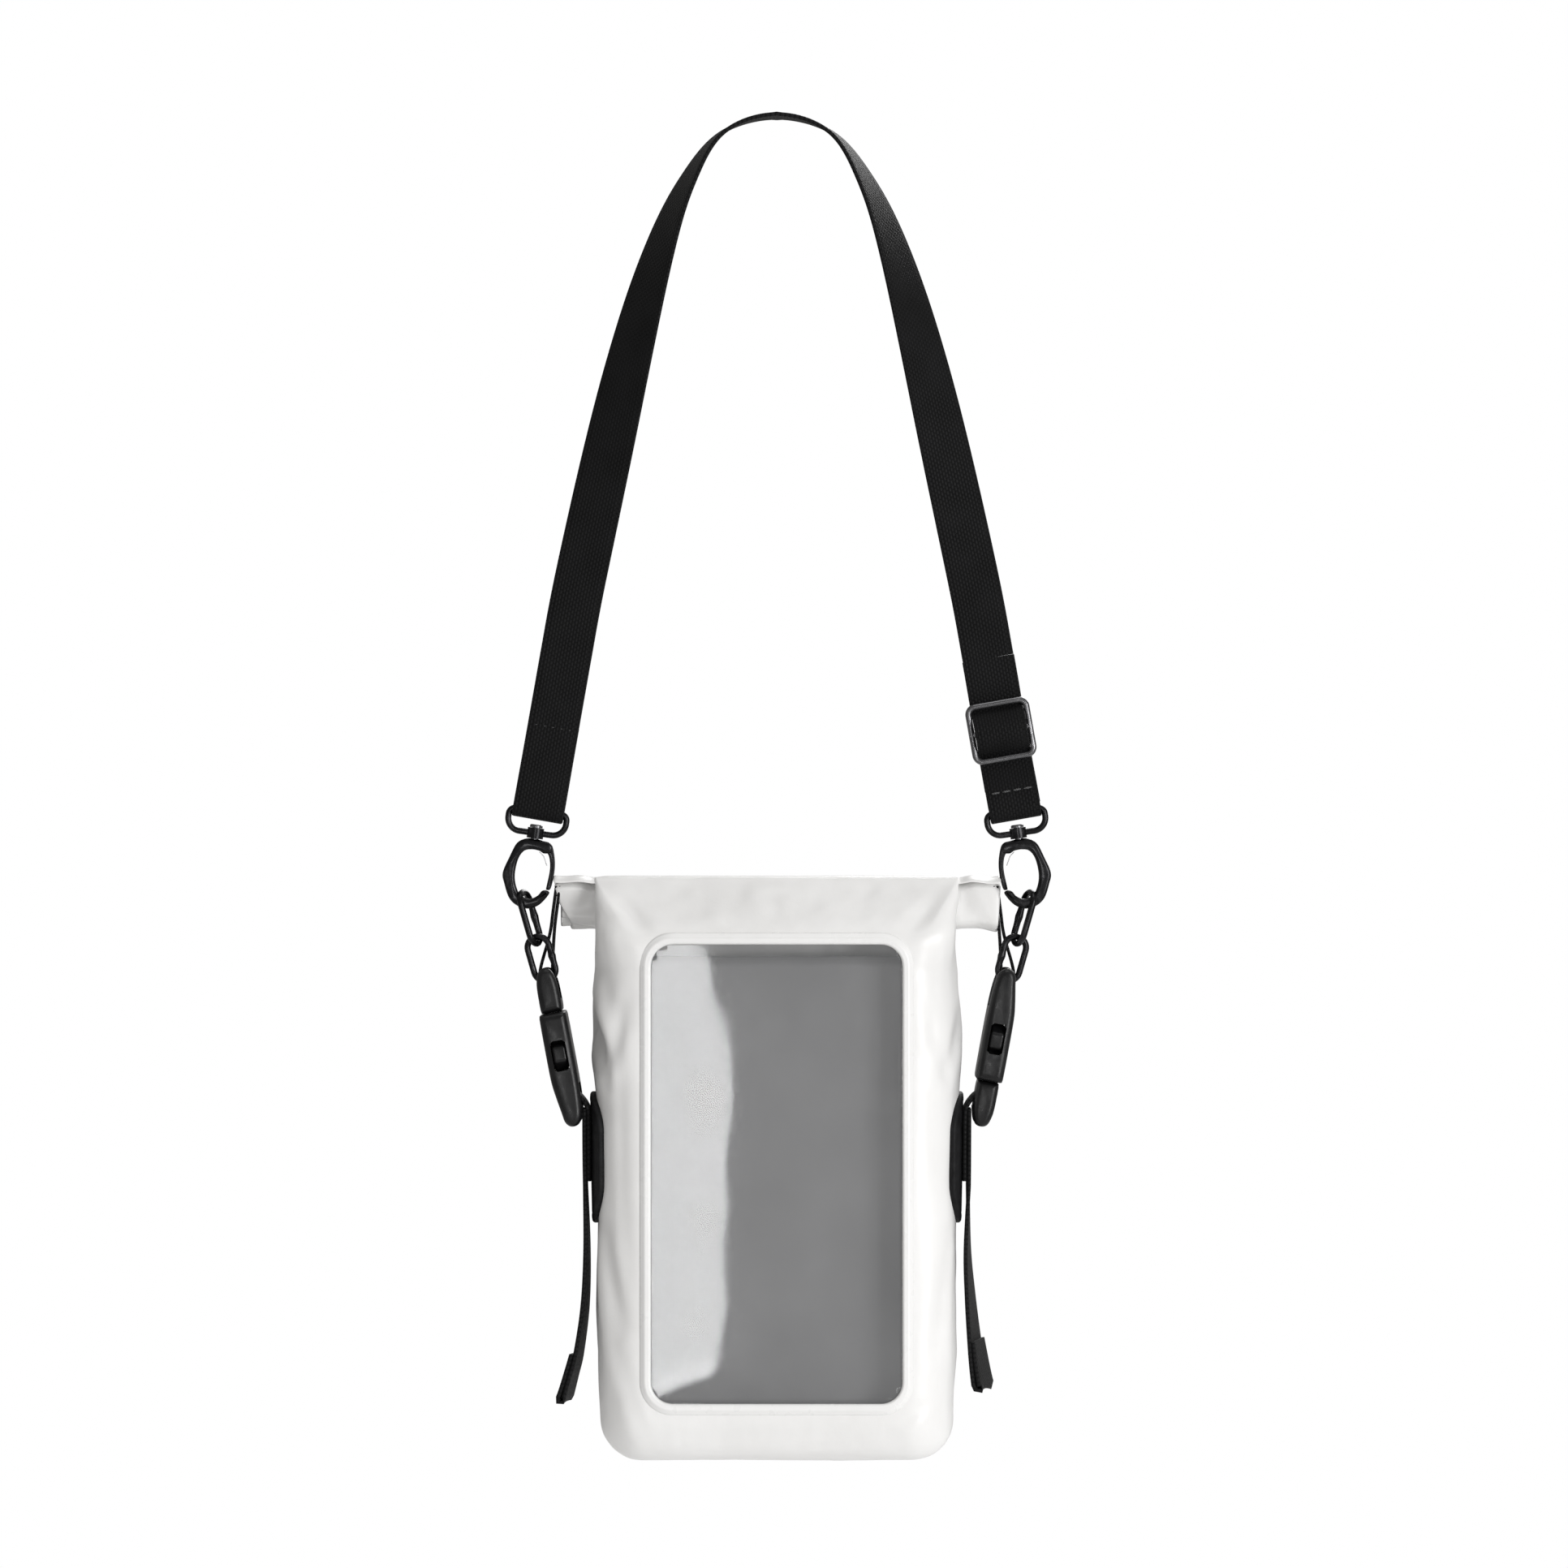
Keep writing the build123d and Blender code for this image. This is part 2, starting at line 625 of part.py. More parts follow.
# The rolled mouth, with its two stiffener strips inside.
with BuildPart() as roll_top:
    with BuildSketch(Plane.YZ.offset(-roll_width / 2)):
        with Locations((roll_y, roll_z)):
            SlotOverall(roll_height, roll_depth, rotation=90)
            Rectangle(2 * stiffener_thickness + 0.2, stiffener_height + 0.4, mode=Mode.SUBTRACT)
    extrude(amount=roll_width)
save(roll_top, "roll_top")
with BuildPart() as stiffeners:
    with BuildSketch(Plane.YZ.offset(-roll_width / 2 + 2)):
        for step in (-1, 1):
            with Locations((roll_y + step * (stiffener_thickness + 0.1) / 2, roll_z)):
                Rectangle(stiffener_thickness, stiffener_height)
    extrude(amount=roll_width - 4)
save(stiffeners, "closure_stiffeners")

# ---- what ties the buckles to the bag -----------------------------------------------------------
anchor_x = bag_width / 2 + patch_thickness + 0.1 + half_web
tab_x = roll_width / 2 + 0.7
tail_x = anchor_x + webbing_thickness + 0.15
tail_points = {
    "left": [(tail_x, anchor_low), (73.2, -440.0), (73.9, -461.8), (76.6, -480.6)],
    "right": [(tail_x, anchor_low), (73.3, -440.0), (74.6, -458.7), (76.4, -480.6)],
}
tail_tips = {"left": (81.2, -498.0), "right": (77.6, -493.0)}

for side, sign in sides.items():
    with BuildPart() as patch:
        bag_body(patch_thickness)
        bag_body(0.05, mode=Mode.SUBTRACT)
        with BuildSketch(Plane.YZ.offset(sign * bag_width / 4)) as oval:
            with Locations((0, patch_z)):
                SlotOverall(patch_height, patch_width, rotation=90)
        extrude(oval.sketch, amount=sign * bag_width, mode=Mode.INTERSECT)
    save(patch, f"{side}_patch")

    with BuildPart() as tab:
        with BuildSketch(Plane.XZ.offset(-tab_y - tab_width / 2)) as ply:
            with BuildLine() as ply_line:
                bar = buckle_plane(sign).origin
                wrap = buckle_bar_radius + tab_play + tab_thickness / 2
                near = abs(bar.X) - wrap
                beyond = abs(bar.X) + wrap
                Polyline((sign * (tab_x + 1.3), -310.0), (sign * (tab_x + 1.6), -318.0),
                         (sign * beyond, bar.Z))
                ThreePointArc((sign * beyond, bar.Z), (bar.X, bar.Z - wrap), (sign * near, bar.Z))
                Polyline((sign * near, bar.Z), (sign * (tab_x + 0.1), -318.0), (sign * tab_x, -310.0))
            trace(line_width=tab_thickness)
        extrude(amount=tab_width)
    save(tab, f"{side}_roll_tab")

    with BuildPart() as side_webbing:
        with BuildSketch(Plane.XZ.offset(-webbing_width / 2)):
            with BuildLine():
                Polyline((sign * 77.2, -380.0), (sign * 75.3, -379.4), (sign * anchor_x, -385.6),
                         (sign * anchor_x, anchor_low))
            trace(line_width=webbing_thickness)
        extrude(amount=webbing_width)
    save(side_webbing, f"{side}_side_webbing")

    with BuildPart() as tail:
        with BuildSketch(Plane.XZ.offset(-webbing_width / 2)):
            end_x, end_z = tail_points[side][-1]
            tip_x, tip_z = tail_tips[side]
            with BuildLine():
                Line((sign * tail_x, tail_top), (sign * tail_x, anchor_low))
                Spline(*[(sign * x, z) for x, z in tail_points[side]],
                       tangents=[(0, -1), (sign * (tip_x - end_x), tip_z - end_z)])
            trace(line_width=webbing_thickness)
            with BuildLine():
                Line((sign * end_x, end_z), (sign * tip_x, tip_z))
            trace(line_width=2 * webbing_thickness)
        extrude(amount=webbing_width)
    save(tail, f"{side}_tail")
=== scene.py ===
from math import cos, exp, hypot, pi, radians, sin

import bmesh
import bpy
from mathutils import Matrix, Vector, noise


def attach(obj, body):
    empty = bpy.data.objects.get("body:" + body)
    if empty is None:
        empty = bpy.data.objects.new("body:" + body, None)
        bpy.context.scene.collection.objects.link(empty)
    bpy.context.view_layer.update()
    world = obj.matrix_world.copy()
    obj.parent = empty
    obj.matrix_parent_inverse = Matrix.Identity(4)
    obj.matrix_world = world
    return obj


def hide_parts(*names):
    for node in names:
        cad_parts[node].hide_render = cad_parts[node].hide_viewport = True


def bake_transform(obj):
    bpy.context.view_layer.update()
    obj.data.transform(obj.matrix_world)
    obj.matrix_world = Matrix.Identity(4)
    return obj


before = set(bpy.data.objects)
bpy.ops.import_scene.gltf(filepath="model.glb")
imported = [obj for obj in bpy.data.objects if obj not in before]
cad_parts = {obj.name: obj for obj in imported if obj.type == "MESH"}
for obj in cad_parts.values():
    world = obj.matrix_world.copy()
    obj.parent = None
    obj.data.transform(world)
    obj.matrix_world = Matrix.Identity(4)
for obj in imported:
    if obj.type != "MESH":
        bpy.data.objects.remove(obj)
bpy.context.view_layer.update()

# A small roll-top dry bag with a clear phone window, hanging by its shoulder strap.
# Lengths are in millimetres until a mesh is made. The window faces -Y and +Z is up.
mm = 0.001
across_y = Vector((0, 1, 0))

# ---- sizes of the webbing and what it passes round ----
web_width = 20.0
web_thick = 1.6
half_web = web_thick / 2
bar_x = 92.4
bar_z = -270.3
strap_lean = 10.0
strap_run = 60.0
wire = 2.4
fold_layer = 1.9 + half_web
fold_bottom = -fold_layer * 1.06
arch_points = [(0.0, -0.8), (21.0, -7.2), (34.7, -26.0), (46.0, -54.2), (58.7, -101.3), (75.4, -176.5)]
twist_end_height = 205.0
twist_power = 1.7
adjuster_height = 31.5
center_bar_radius = 1.1

# ---- sizes of the bag ----
bag_bottom = -521.3
bottom_radius = 15.5
bottom_start = bag_bottom + bottom_radius
bag_top = -297.0
window_width = 100.0
window_height = 180.0
window_radius = 10.0
window_z = -410.0
window_half = window_width / 2
rim_height = 1.3
grid_step = 2.0
corner_reach = 1.3
roll_y = 6.5
roll_z = -306.8
roll_end_start = 66.0
patch_z = -404.5

# ---- sizes of the buckles ----
end_bar_x = 89.62
end_bar_z = -333.25
end_bar_radius = 1.5
buckle_lean = -10.5
ladder_drop = 50.4
ladder_inset = 1.6
male_length = 15.2
female_length = 42.5
halves_gap = 0.3
female_width = 30.0
male_width = 25.0
cavity_width = 24.0
slot_width = 21.0
bar_end_margin = 2.0


# ---- materials: a short way to build node trees ----
class Finish:
    """A material and the nodes that drive its Principled shader. Coordinates are in metres."""

    def __init__(self, name, **constants):
        self.material = bpy.data.materials.new(name)
        self.material.use_nodes = True
        self.tree = self.material.node_tree
        self.shader = self.tree.nodes["Principled BSDF"]
        self.normal = None
        for socket, value in constants.items():
            self.shader.inputs[socket.replace("_", " ")].default_value = value

    def node(self, kind, inputs, **settings):
        made = self.tree.nodes.new(kind)
        for key, value in settings.items():
            setattr(made, key, value)
        for key, value in inputs.items():
            self.feed(made.inputs[key], value)
        return made

    def feed(self, socket, value):
        if isinstance(value, bpy.types.NodeSocket):
            self.tree.links.new(value, socket)
        else:
            socket.default_value = value

    def math(self, operation, a, b=0.0):
        return self.node("ShaderNodeMath", {0: a, 1: b}, operation=operation).outputs[0]

    def place(self, stretch=(1, 1, 1)):
        """The point in the object's own space, squeezed along its axes."""
        coordinate = self.node("ShaderNodeTexCoord", {}).outputs["Object"]
        return self.node("ShaderNodeMapping", {"Vector": coordinate, "Scale": stretch}).outputs[0]

    def noise(self, size, detail=3.0, stretch=(1, 1, 1), rough=0.5):
        """Noise whose features are about this many millimetres across."""
        inputs = {"Vector": self.place(stretch), "Scale": 1000.0 / size,
                  "Detail": detail, "Roughness": rough}
        return self.node("ShaderNodeTexNoise", inputs).outputs["Fac"]

    def ramp(self, value, low, high, out_low=0.0, out_high=1.0):
        inputs = {"Value": value, "From Min": low, "From Max": high, "To Min": out_low, "To Max": out_high}
        return self.node("ShaderNodeMapRange", inputs).outputs["Result"]

    def mix(self, factor, a, b):
        made = self.node("ShaderNodeMix", {}, data_type="RGBA")
        self.feed(made.inputs[0], factor)
        self.feed(made.inputs[6], (*a, 1) if isinstance(a, tuple) else a)
        self.feed(made.inputs[7], (*b, 1) if isinstance(b, tuple) else b)
        return made.outputs[2]

    def color(self, value):
        self.feed(self.shader.inputs["Base Color"], value)

    def mottle(self, size, detail, low, high, first, second, rough=0.5):
        """A colour that goes from the first shade to the second where the noise rises from low to high."""
        amount = self.ramp(self.noise(size, detail, rough=rough), low, high)
        self.color(self.mix(amount, first, second))

    def roughness(self, value):
        self.feed(self.shader.inputs["Roughness"], value)

    def uneven_gloss(self, size, detail, high, smooth, rough):
        """A roughness that goes from smooth to rough with the noise."""
        self.roughness(self.ramp(self.noise(size, detail), 0.3, high, smooth, rough))

    def bump(self, height, depth):
        """Raises the surface by this many millimetres where the height is 1, over the bumps made before."""
        inputs = {"Height": height, "Distance": depth * mm, "Strength": 1.0}
        if self.normal:
            inputs["Normal"] = self.normal
        self.normal = self.node("ShaderNodeBump", inputs).outputs["Normal"]
        self.feed(self.shader.inputs["Normal"], self.normal)


def film_material(name, light, dark, rough_low, rough_high, grain=0.02):
    """Coated film: a satin skin with a fine grain, faint scuffs and a slow change of shade."""
    finish = Finish(name, Specular_IOR_Level=0.5, Coat_Weight=0.12, Coat_Roughness=0.25)
    clouded = finish.ramp(finish.noise(38.0, 4.0), 0.3, 0.7, 0.0, 0.7)
    smudged = finish.ramp(finish.noise(7.0, 5.0, (1, 1, 0.35), 0.6), 0.45, 0.75, 0.0, 0.3)
    finish.color(finish.mix(finish.math("ADD", clouded, smudged), light, dark))
    finish.uneven_gloss(5.0, 4.0, 0.7, rough_low, rough_high)
    finish.bump(finish.noise(0.9, 2.0), grain)
    finish.bump(finish.noise(11.0, 3.0, (1, 1, 0.6)), 0.10)
    finish.bump(finish.noise(26.0, 2.0, (1, 1, 0.4)), 0.22)
    return finish.material


def clear_material():
    """The clear window: a glossy film that lets most light through."""
    finish = Finish("clear_window", Alpha=0.10, IOR=2.1, Coat_Weight=1.0, Coat_Roughness=0.015)
    finish.mottle(30.0, 3.0, 0.3, 0.7, (0.70, 0.71, 0.72), (0.62, 0.63, 0.64))
    finish.roughness(finish.ramp(finish.noise(2.5, 5.0), 0.35, 0.8, 0.02, 0.06))
    return finish.material


def webbing_material(name, rib=1.15, pick=1.9):
    """Nylon webbing: ribs along its length, each a row of picks that stagger from rib to rib; painted shade
    darkens the gaps between the picks.
    """
    finish = Finish(name, Sheen_Weight=0.03, Sheen_Roughness=0.4, Specular_IOR_Level=0.14)
    lay = finish.node("ShaderNodeAttribute", {}, attribute_name="lay").outputs["Vector"]
    across, along = finish.node("ShaderNodeSeparateXYZ", {0: lay}).outputs[:2]
    column = finish.math("DIVIDE", across, rib)
    odd = finish.math("MODULO", finish.math("ADD", finish.math("FLOOR", column), 40.0), 2.0)
    row = finish.math("ADD", finish.math("DIVIDE", along, pick), finish.math("MULTIPLY", odd, 0.5))
    rib_wave, pick_wave = [finish.math("ABSOLUTE", finish.math("SINE", finish.math("MULTIPLY", count, pi)))
                           for count in (column, row)]
    raised = finish.math("POWER", finish.math("MULTIPLY", rib_wave, pick_wave), 0.6)
    fibre = finish.noise(0.35, 3.0)
    # Painted shade: the colour is darker in the gaps between the picks and lighter on the raised picks, with
    # a random fibre change on top.
    painted_pick_light = finish.math("MULTIPLY", raised, finish.ramp(fibre, 0.3, 0.7, 0.7, 1.0))
    yarn_with_painted_shade = finish.mix(painted_pick_light, (0.0015, 0.0015, 0.0015), (0.006, 0.006, 0.0065))
    wear = finish.ramp(finish.noise(14.0, 4.0), 0.35, 0.7)
    finish.color(finish.mix(finish.math("MULTIPLY", wear, 0.35), yarn_with_painted_shade, (0.011, 0.011, 0.012)))
    finish.roughness(finish.ramp(raised, 0.0, 1.0, 0.85, 0.52))
    finish.bump(fibre, 0.04)
    from_middle = finish.math("ABSOLUTE", across)
    groove_start = web_width / 2 - 1.9
    groove_inner = finish.ramp(from_middle, groove_start, groove_start + 0.4)
    groove_outer = finish.ramp(from_middle, groove_start + 0.8, groove_start + 0.3)
    groove = finish.math("MULTIPLY", groove_inner, groove_outer)
    finish.bump(finish.math("SUBTRACT", raised, finish.math("MULTIPLY", groove, 0.9)), 0.22)
    return finish.material


def thread_material():
    """Thick twisted thread, with painted shade in the grooves of its twist."""
    finish = Finish("thread", Sheen_Weight=0.3, Sheen_Roughness=0.4)
    inputs = {"Vector": finish.place(), "Scale": 700.0, "Distortion": 0.6}
    twist = finish.node("ShaderNodeTexWave", inputs, bands_direction="DIAGONAL").outputs["Fac"]
    # Painted shade: the colour follows the twist, darker in the grooves between the plies and lighter on
    # their crowns.
    finish.color(finish.mix(twist, (0.03, 0.03, 0.031), (0.11, 0.11, 0.113)))
    finish.roughness(finish.ramp(twist, 0, 1, 0.7, 0.5))
    finish.bump(twist, 0.12)
    return finish.material


def metal_material(name, base, worn, rough_low, rough_high):
    """Painted or plain metal with rubbed patches and fine scratches."""
    finish = Finish(name, Metallic=0.85, Coat_Weight=0.12, Coat_Roughness=0.12)
    finish.mottle(6.0, 6.0, 0.52, 0.72, base, worn, rough=0.65)
    finish.uneven_gloss(1.6, 5.0, 0.75, rough_low, rough_high)
    finish.bump(finish.noise(0.6, 3.0, (1, 1, 0.15)), 0.012)
    finish.bump(finish.noise(2.4, 2.0), 0.03)
    return finish.material


def plastic_material():
    """Moulded acetal: black, satin, with a fine spark-eroded grain."""
    finish = Finish("moulded_plastic", Specular_IOR_Level=0.3)
    finish.mottle(9.0, 5.0, 0.35, 0.7, (0.0035, 0.0035, 0.004), (0.009, 0.009, 0.0095))
    finish.uneven_gloss(3.0, 4.0, 0.7, 0.26, 0.40)
    finish.bump(finish.noise(0.45, 2.0), 0.022)
    finish.bump(finish.noise(4.0, 3.0), 0.03)
    return finish.material


def rubber_material():
    """Matte rubber with a pebbled skin."""
    finish = Finish("rubber", Specular_IOR_Level=0.18)
    finish.mottle(5.0, 5.0, 0.35, 0.7, (0.004, 0.004, 0.0045), (0.010, 0.010, 0.011))
    finish.uneven_gloss(2.0, 4.0, 0.7, 0.5, 0.68)
    pebbles = finish.node("ShaderNodeTexVoronoi", {"Vector": finish.place(), "Scale": 1400.0})
    finish.bump(pebbles.outputs["Distance"], 0.05)
    return finish.material


# A look is a material and a slot name.
white_film = (film_material("white_film", (0.87, 0.867, 0.86), (0.80, 0.795, 0.785), 0.34, 0.50),
              "white_film")
welded_film = (film_material("welded_rim", (0.88, 0.878, 0.872), (0.83, 0.826, 0.818), 0.24, 0.36, 0.012),
               "white_film")
pocket_film = (film_material("pocket_film", (0.135, 0.135, 0.138), (0.105, 0.105, 0.108), 0.45, 0.6),
               "pocket_film")
clear_film = (clear_material(), "clear_film")
webbing = (webbing_material("black_webbing"), "black_webbing")
narrow_webbing = (webbing_material("narrow_webbing", 0.9, 1.5), "black_webbing")
thread = (thread_material(), "thread")
black_metal = (metal_material("black_metal", (0.010, 0.010, 0.011), (0.045, 0.045, 0.048), 0.24, 0.42),
               "black_metal")
spring_steel = (metal_material("spring_steel", (0.42, 0.42, 0.43), (0.6, 0.6, 0.6), 0.25, 0.4),
                "gate_spring_steel")
black_plastic = (plastic_material(), "black_plastic")
black_rubber = (rubber_material(), "black_rubber")
gunmetal = metal_material("gunmetal", (0.13, 0.13, 0.135), (0.30, 0.30, 0.31), 0.2, 0.36)
stiffener_white = film_material("stiffener", (0.75, 0.75, 0.74), (0.66, 0.66, 0.65), 0.4, 0.55)


# ---- meshes ----
def add_object(name, data):
    made = bpy.data.objects.new(name, data)
    bpy.context.scene.collection.objects.link(made)
    return made


def rework(mesh, change):
    """Makes a change to a mesh through its editable copy."""
    work = bmesh.new()
    work.from_mesh(mesh)
    change(work)
    work.to_mesh(mesh)
    work.free()


def face_outwards(work):
    bmesh.ops.recalc_face_normals(work, faces=work.faces)


def drop_loose_points(work):
    bmesh.ops.delete(work, geom=[v for v in work.verts if not v.link_faces], context="VERTS")


def shade_smooth(mesh, sharp_angle=None):
    for polygon in mesh.polygons:
        polygon.use_smooth = True
    if sharp_angle:
        mesh.set_sharp_from_angle(angle=radians(sharp_angle))


def make_piece(name, points, faces, look, body, replaced=(), lay=None, sharp_angle=None):
    """A smooth-shaded mesh from points in millimetres, riding on a body."""
    material, slot = look
    mesh = bpy.data.meshes.new(name)
    mesh.from_pydata([p * mm for p in points], [], faces)
    if lay is not None:
        attribute = mesh.attributes.new("lay", "FLOAT_VECTOR", "POINT")
        attribute.data.foreach_set("vector", [number for place in lay for number in (*place, 0.0)])
    rework(mesh, face_outwards)
    shade_smooth(mesh, sharp_angle)
    mesh.materials.append(material)
    piece = add_object(name, mesh)
    if replaced:
        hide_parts(*replaced)
    if body:
        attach(piece, body)
    return piece


def thicken(piece, thickness, offset=-1.0):
    solid = piece.modifiers.new("thickness", "SOLIDIFY")
    solid.thickness = thickness * mm
    solid.offset = offset
    solid.use_even_offset = True


def subdivide(piece):
    smooth = piece.modifiers.new("smooth", "SUBSURF")
    smooth.levels = 1
    smooth.render_levels = 1


def grid_faces(rows, columns, closed=False):
    """Quads over rows of points; closed joins the last column to the first."""
    faces = []
    for row in range(rows - 1):
        for column in range(columns if closed else columns - 1):
            following = (column + 1) % columns
            low = row * columns
            faces.append((low + column, low + following, low + columns + following, low + columns + column))
    return faces


def tube_faces(rows, count):
    """The sides and both flat ends of a tube whose rings have this many points."""
    ends = [tuple(range(count)), tuple(range((rows - 1) * count, rows * count))]
    return grid_faces(rows, count, closed=True) + ends


def hoop_faces(rows, count):
    """The faces of a tube whose last ring joins its first."""
    last = (rows - 1) * count
    joint = [(last + k, last + (k + 1) % count, (k + 1) % count, k) for k in range(count)]
    return grid_faces(rows, count, closed=True) + joint


def catmull_span(p0, p1, p2, p3, steps):
    """Points of a Catmull-Rom curve from p1 up to p2."""
    return [0.5 * (2 * p1 + (p2 - p0) * t + (2 * p0 - 5 * p1 + 4 * p2 - p3) * t ** 2
                   + (3 * p1 - p0 - 3 * p2 + p3) * t ** 3) for t in [step / steps for step in range(steps)]]


def catmull(points, steps):
    """A smooth line through the points, with this many steps between each two."""
    line = []
    ends = [points[0], *points, points[-1]]
    for four in zip(ends, ends[1:], ends[2:], ends[3:]):
        line += catmull_span(*four, steps)
    return line + [points[-1]]


def smooth_loop(corners, steps=6):
    """A closed smooth line through (inward, up) corners."""
    loop = [Vector(corner) for corner in corners]
    line = []
    for i, corner in enumerate(loop):
        after, last = [loop[(i + ahead) % len(loop)] for ahead in (1, 2)]
        line += catmull_span(loop[i - 1], corner, after, last, steps)
    return [tuple(point) for point in line]


def rounded(points, steps=7):
    """The points' polyline with each corner drawn as a curve between the middles of its two sides."""
    line = [points[0]]
    for before, corner, after in zip(points, points[1:], points[2:]):
        start = before if before is points[0] else (before + corner) / 2
        end = after if after is points[-1] else (corner + after) / 2
        for step in range(steps + 1):
            t = step / steps
            line.append(start * (1 - t) ** 2 + corner * (2 * t * (1 - t)) + end * t ** 2)
    return spaced([p for p, q in zip(line, line[1:] + [None]) if q is None or (p - q).length > 1e-6])


def spaced(line, step=1.2):
    """The same line with points an even distance apart."""
    total = sum((b - a).length for a, b in zip(line, line[1:]))
    count = max(4, round(total / step))
    result = [line[0]]
    walked = 0.0
    target = total / count
    for a, b in zip(line, line[1:]):
        length = (b - a).length
        while length > 0 and walked + length >= target - 1e-9 and len(result) < count:
            result.append(a.lerp(b, (target - walked) / length))
            target += total / count
        walked += length
    return result + [line[-1]]


def strip_section(width, thick):
    """A strap's cross-section: flat faces and rounded edges, as (across, through) pairs."""
    edge = thick / 2
    flat = width / 2 - edge * 0.8
    flat_steps = 8
    top = [(-flat + 2 * flat * i / flat_steps, edge) for i in range(flat_steps + 1)]
    bulge = [(flat + 0.8 * edge * sin(radians(angle)), edge * cos(radians(angle)))
             for angle in (35, 65, 90, 115, 145)]
    half = top + bulge
    return half + [(-u, -n) for u, n in half]


def ribbon(name, route, across, body, replaced=(), look=webbing, width=web_width, thick=web_thick):
    """A strap along a route. Across gives the direction of its width at each point of the route."""
    section = strip_section(width, thick)
    points = []
    lay = []
    travelled = 0.0
    for i, point in enumerate(route):
        ahead = route[min(i + 1, len(route) - 1)] - route[max(i - 1, 0)]
        along = ahead.normalized()
        side = across(point, along) if callable(across) else across
        side = (side - along * side.dot(along)).normalized()
        through = along.cross(side)
        if i:
            travelled += (point - route[i - 1]).length
        for u, n in section:
            points.append(point + side * u + through * n)
            lay.append((u, travelled))
    faces = tube_faces(len(route), len(section))
    return make_piece(name, points, faces, look, body, replaced, lay, sharp_angle=55)


class Leaning:
    """A place on one side of the bag: inward points to the middle and up runs along the lean."""

    def __init__(self, origin, sign, lean):
        tilt = radians(lean)
        self.origin = Vector(origin)
        self.inward = Vector((-sign * cos(tilt), 0, -sin(tilt)))
        self.up = Vector((0, sign, 0)).cross(self.inward)

    def at(self, y, up, inward=0.0):
        return self.origin + self.inward * inward + self.up * up + across_y * y


sides = {"left": -1, "right": 1}
strap_frames = {side: Leaning((sign * bar_x, 0, bar_z), sign, strap_lean) for side, sign in sides.items()}


# ---- shoulder strap ----
def strap_across(point, along):
    """Which way the strap's width points: along Y at the crown, and outwards lower down."""
    outward = Vector((along.z, 0, -along.x))
    if outward.x * point.x < 0:
        outward = -outward
    left = max(0.0, 1.0 - abs(point.z) / twist_end_height)
    turn = radians(90.0 * (1.0 - left ** twist_power))
    return across_y * cos(turn) + outward * sin(turn)


def build_main_strap():
    """From the stitched end at the left loop, round its bar, over the crown and down to the right run."""
    left = strap_frames["left"]
    right = strap_frames["right"]
    back = web_thick + 0.08
    places = [(back, 34), (back, 24), (fold_layer, 7), (fold_layer, fold_bottom), (-fold_layer, fold_bottom),
              (-fold_layer, 7), (0, 24), (0, strap_run)]
    turn = [left.at(y, up) for y, up in places]
    half = [Vector((x, 0, z)) for x, z in arch_points]
    lead_in = strap_run - 22
    arch = [left.at(0, lead_in), left.at(0, strap_run)]
    arch += [Vector((-p.x, 0, p.z)) for p in reversed(half[1:])] + half
    arch += [right.at(0, strap_run), right.at(0, lead_in)]
    steps = 14
    over = catmull(arch, steps)[steps:-steps]
    route = rounded(turn)[:-1] + spaced(over, 2.2)

    def across(point, along):
        if point.x < 0 and point.z < left.at(0, strap_run).z + 1:
            return -left.inward
        return strap_across(point, along)

    nodes = ["shoulder_strap", "strap_left_run", "strap_left_fold"]
    ribbon("strap_webbing", route, across, "strap", nodes)


def build_right_weave():
    """The right run weaves through the adjuster, turns round the loop's bar and comes back to be sewn."""
    side = strap_frames["right"]
    middle = adjuster_height
    behind = wire / 2 + half_web + 0.15
    over = center_bar_radius + web_thick + half_web + 0.2
    sewn = behind + web_thick + 0.1
    loop = center_bar_radius + half_web + 0.05
    snug_width = 20.4

    def route(*places):
        return rounded([side.at(y, up) for y, up in places])

    def blended(name, points, replaced, start, end):
        piece = ribbon(name, points, -side.inward, None, replaced, width=snug_width)
        side.at(0, start) * mm
        side.at(0, end) * mm
        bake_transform(piece)

    upper = route((0, strap_run), (0, middle + 19), (behind + 0.3, middle + 12.5), (behind, middle + 8.0),
                  (-over, middle + 4.6), (-over, middle))
    blended("strap_weave_upper", upper, ["strap_right_run"], strap_run - 1, middle + 13)
    lower = route((-over, middle), (-over, middle - 4.6), (behind, middle - 8.0),
                  (behind + 0.3, middle - 12.5), (-fold_layer, 7), (-fold_layer, 2))
    blended("strap_weave_lower", lower, [], 4, middle - 12)
    fold = route((-fold_layer, 2), (-fold_layer, fold_bottom), (fold_layer, fold_bottom), (fold_layer, 7),
                 (fold_layer, 9.05))
    ribbon("strap_right_turn", fold, -side.inward, "strap", ["strap_right_fold"])
    back = route((fold_layer, 9.0), (fold_layer, 11), (sewn, 17), (sewn, middle - 8))
    blended("strap_back_ply", back, ["strap_return_layer"], 9, middle - 10)
    sewn_end = route((sewn, middle - 9), (sewn, middle - 6), (loop, middle - 1.5),
                     (loop * 1.05, middle + loop * 1.1), (-loop * 1.05, middle + loop * 1.1),
                     (-loop * 1.05, middle - loop * 1.1), (0.2, middle - loop * 1.3))
    ribbon("strap_sewn_loop", sewn_end, -side.inward, "adjuster", ["strap_sewn_end"])


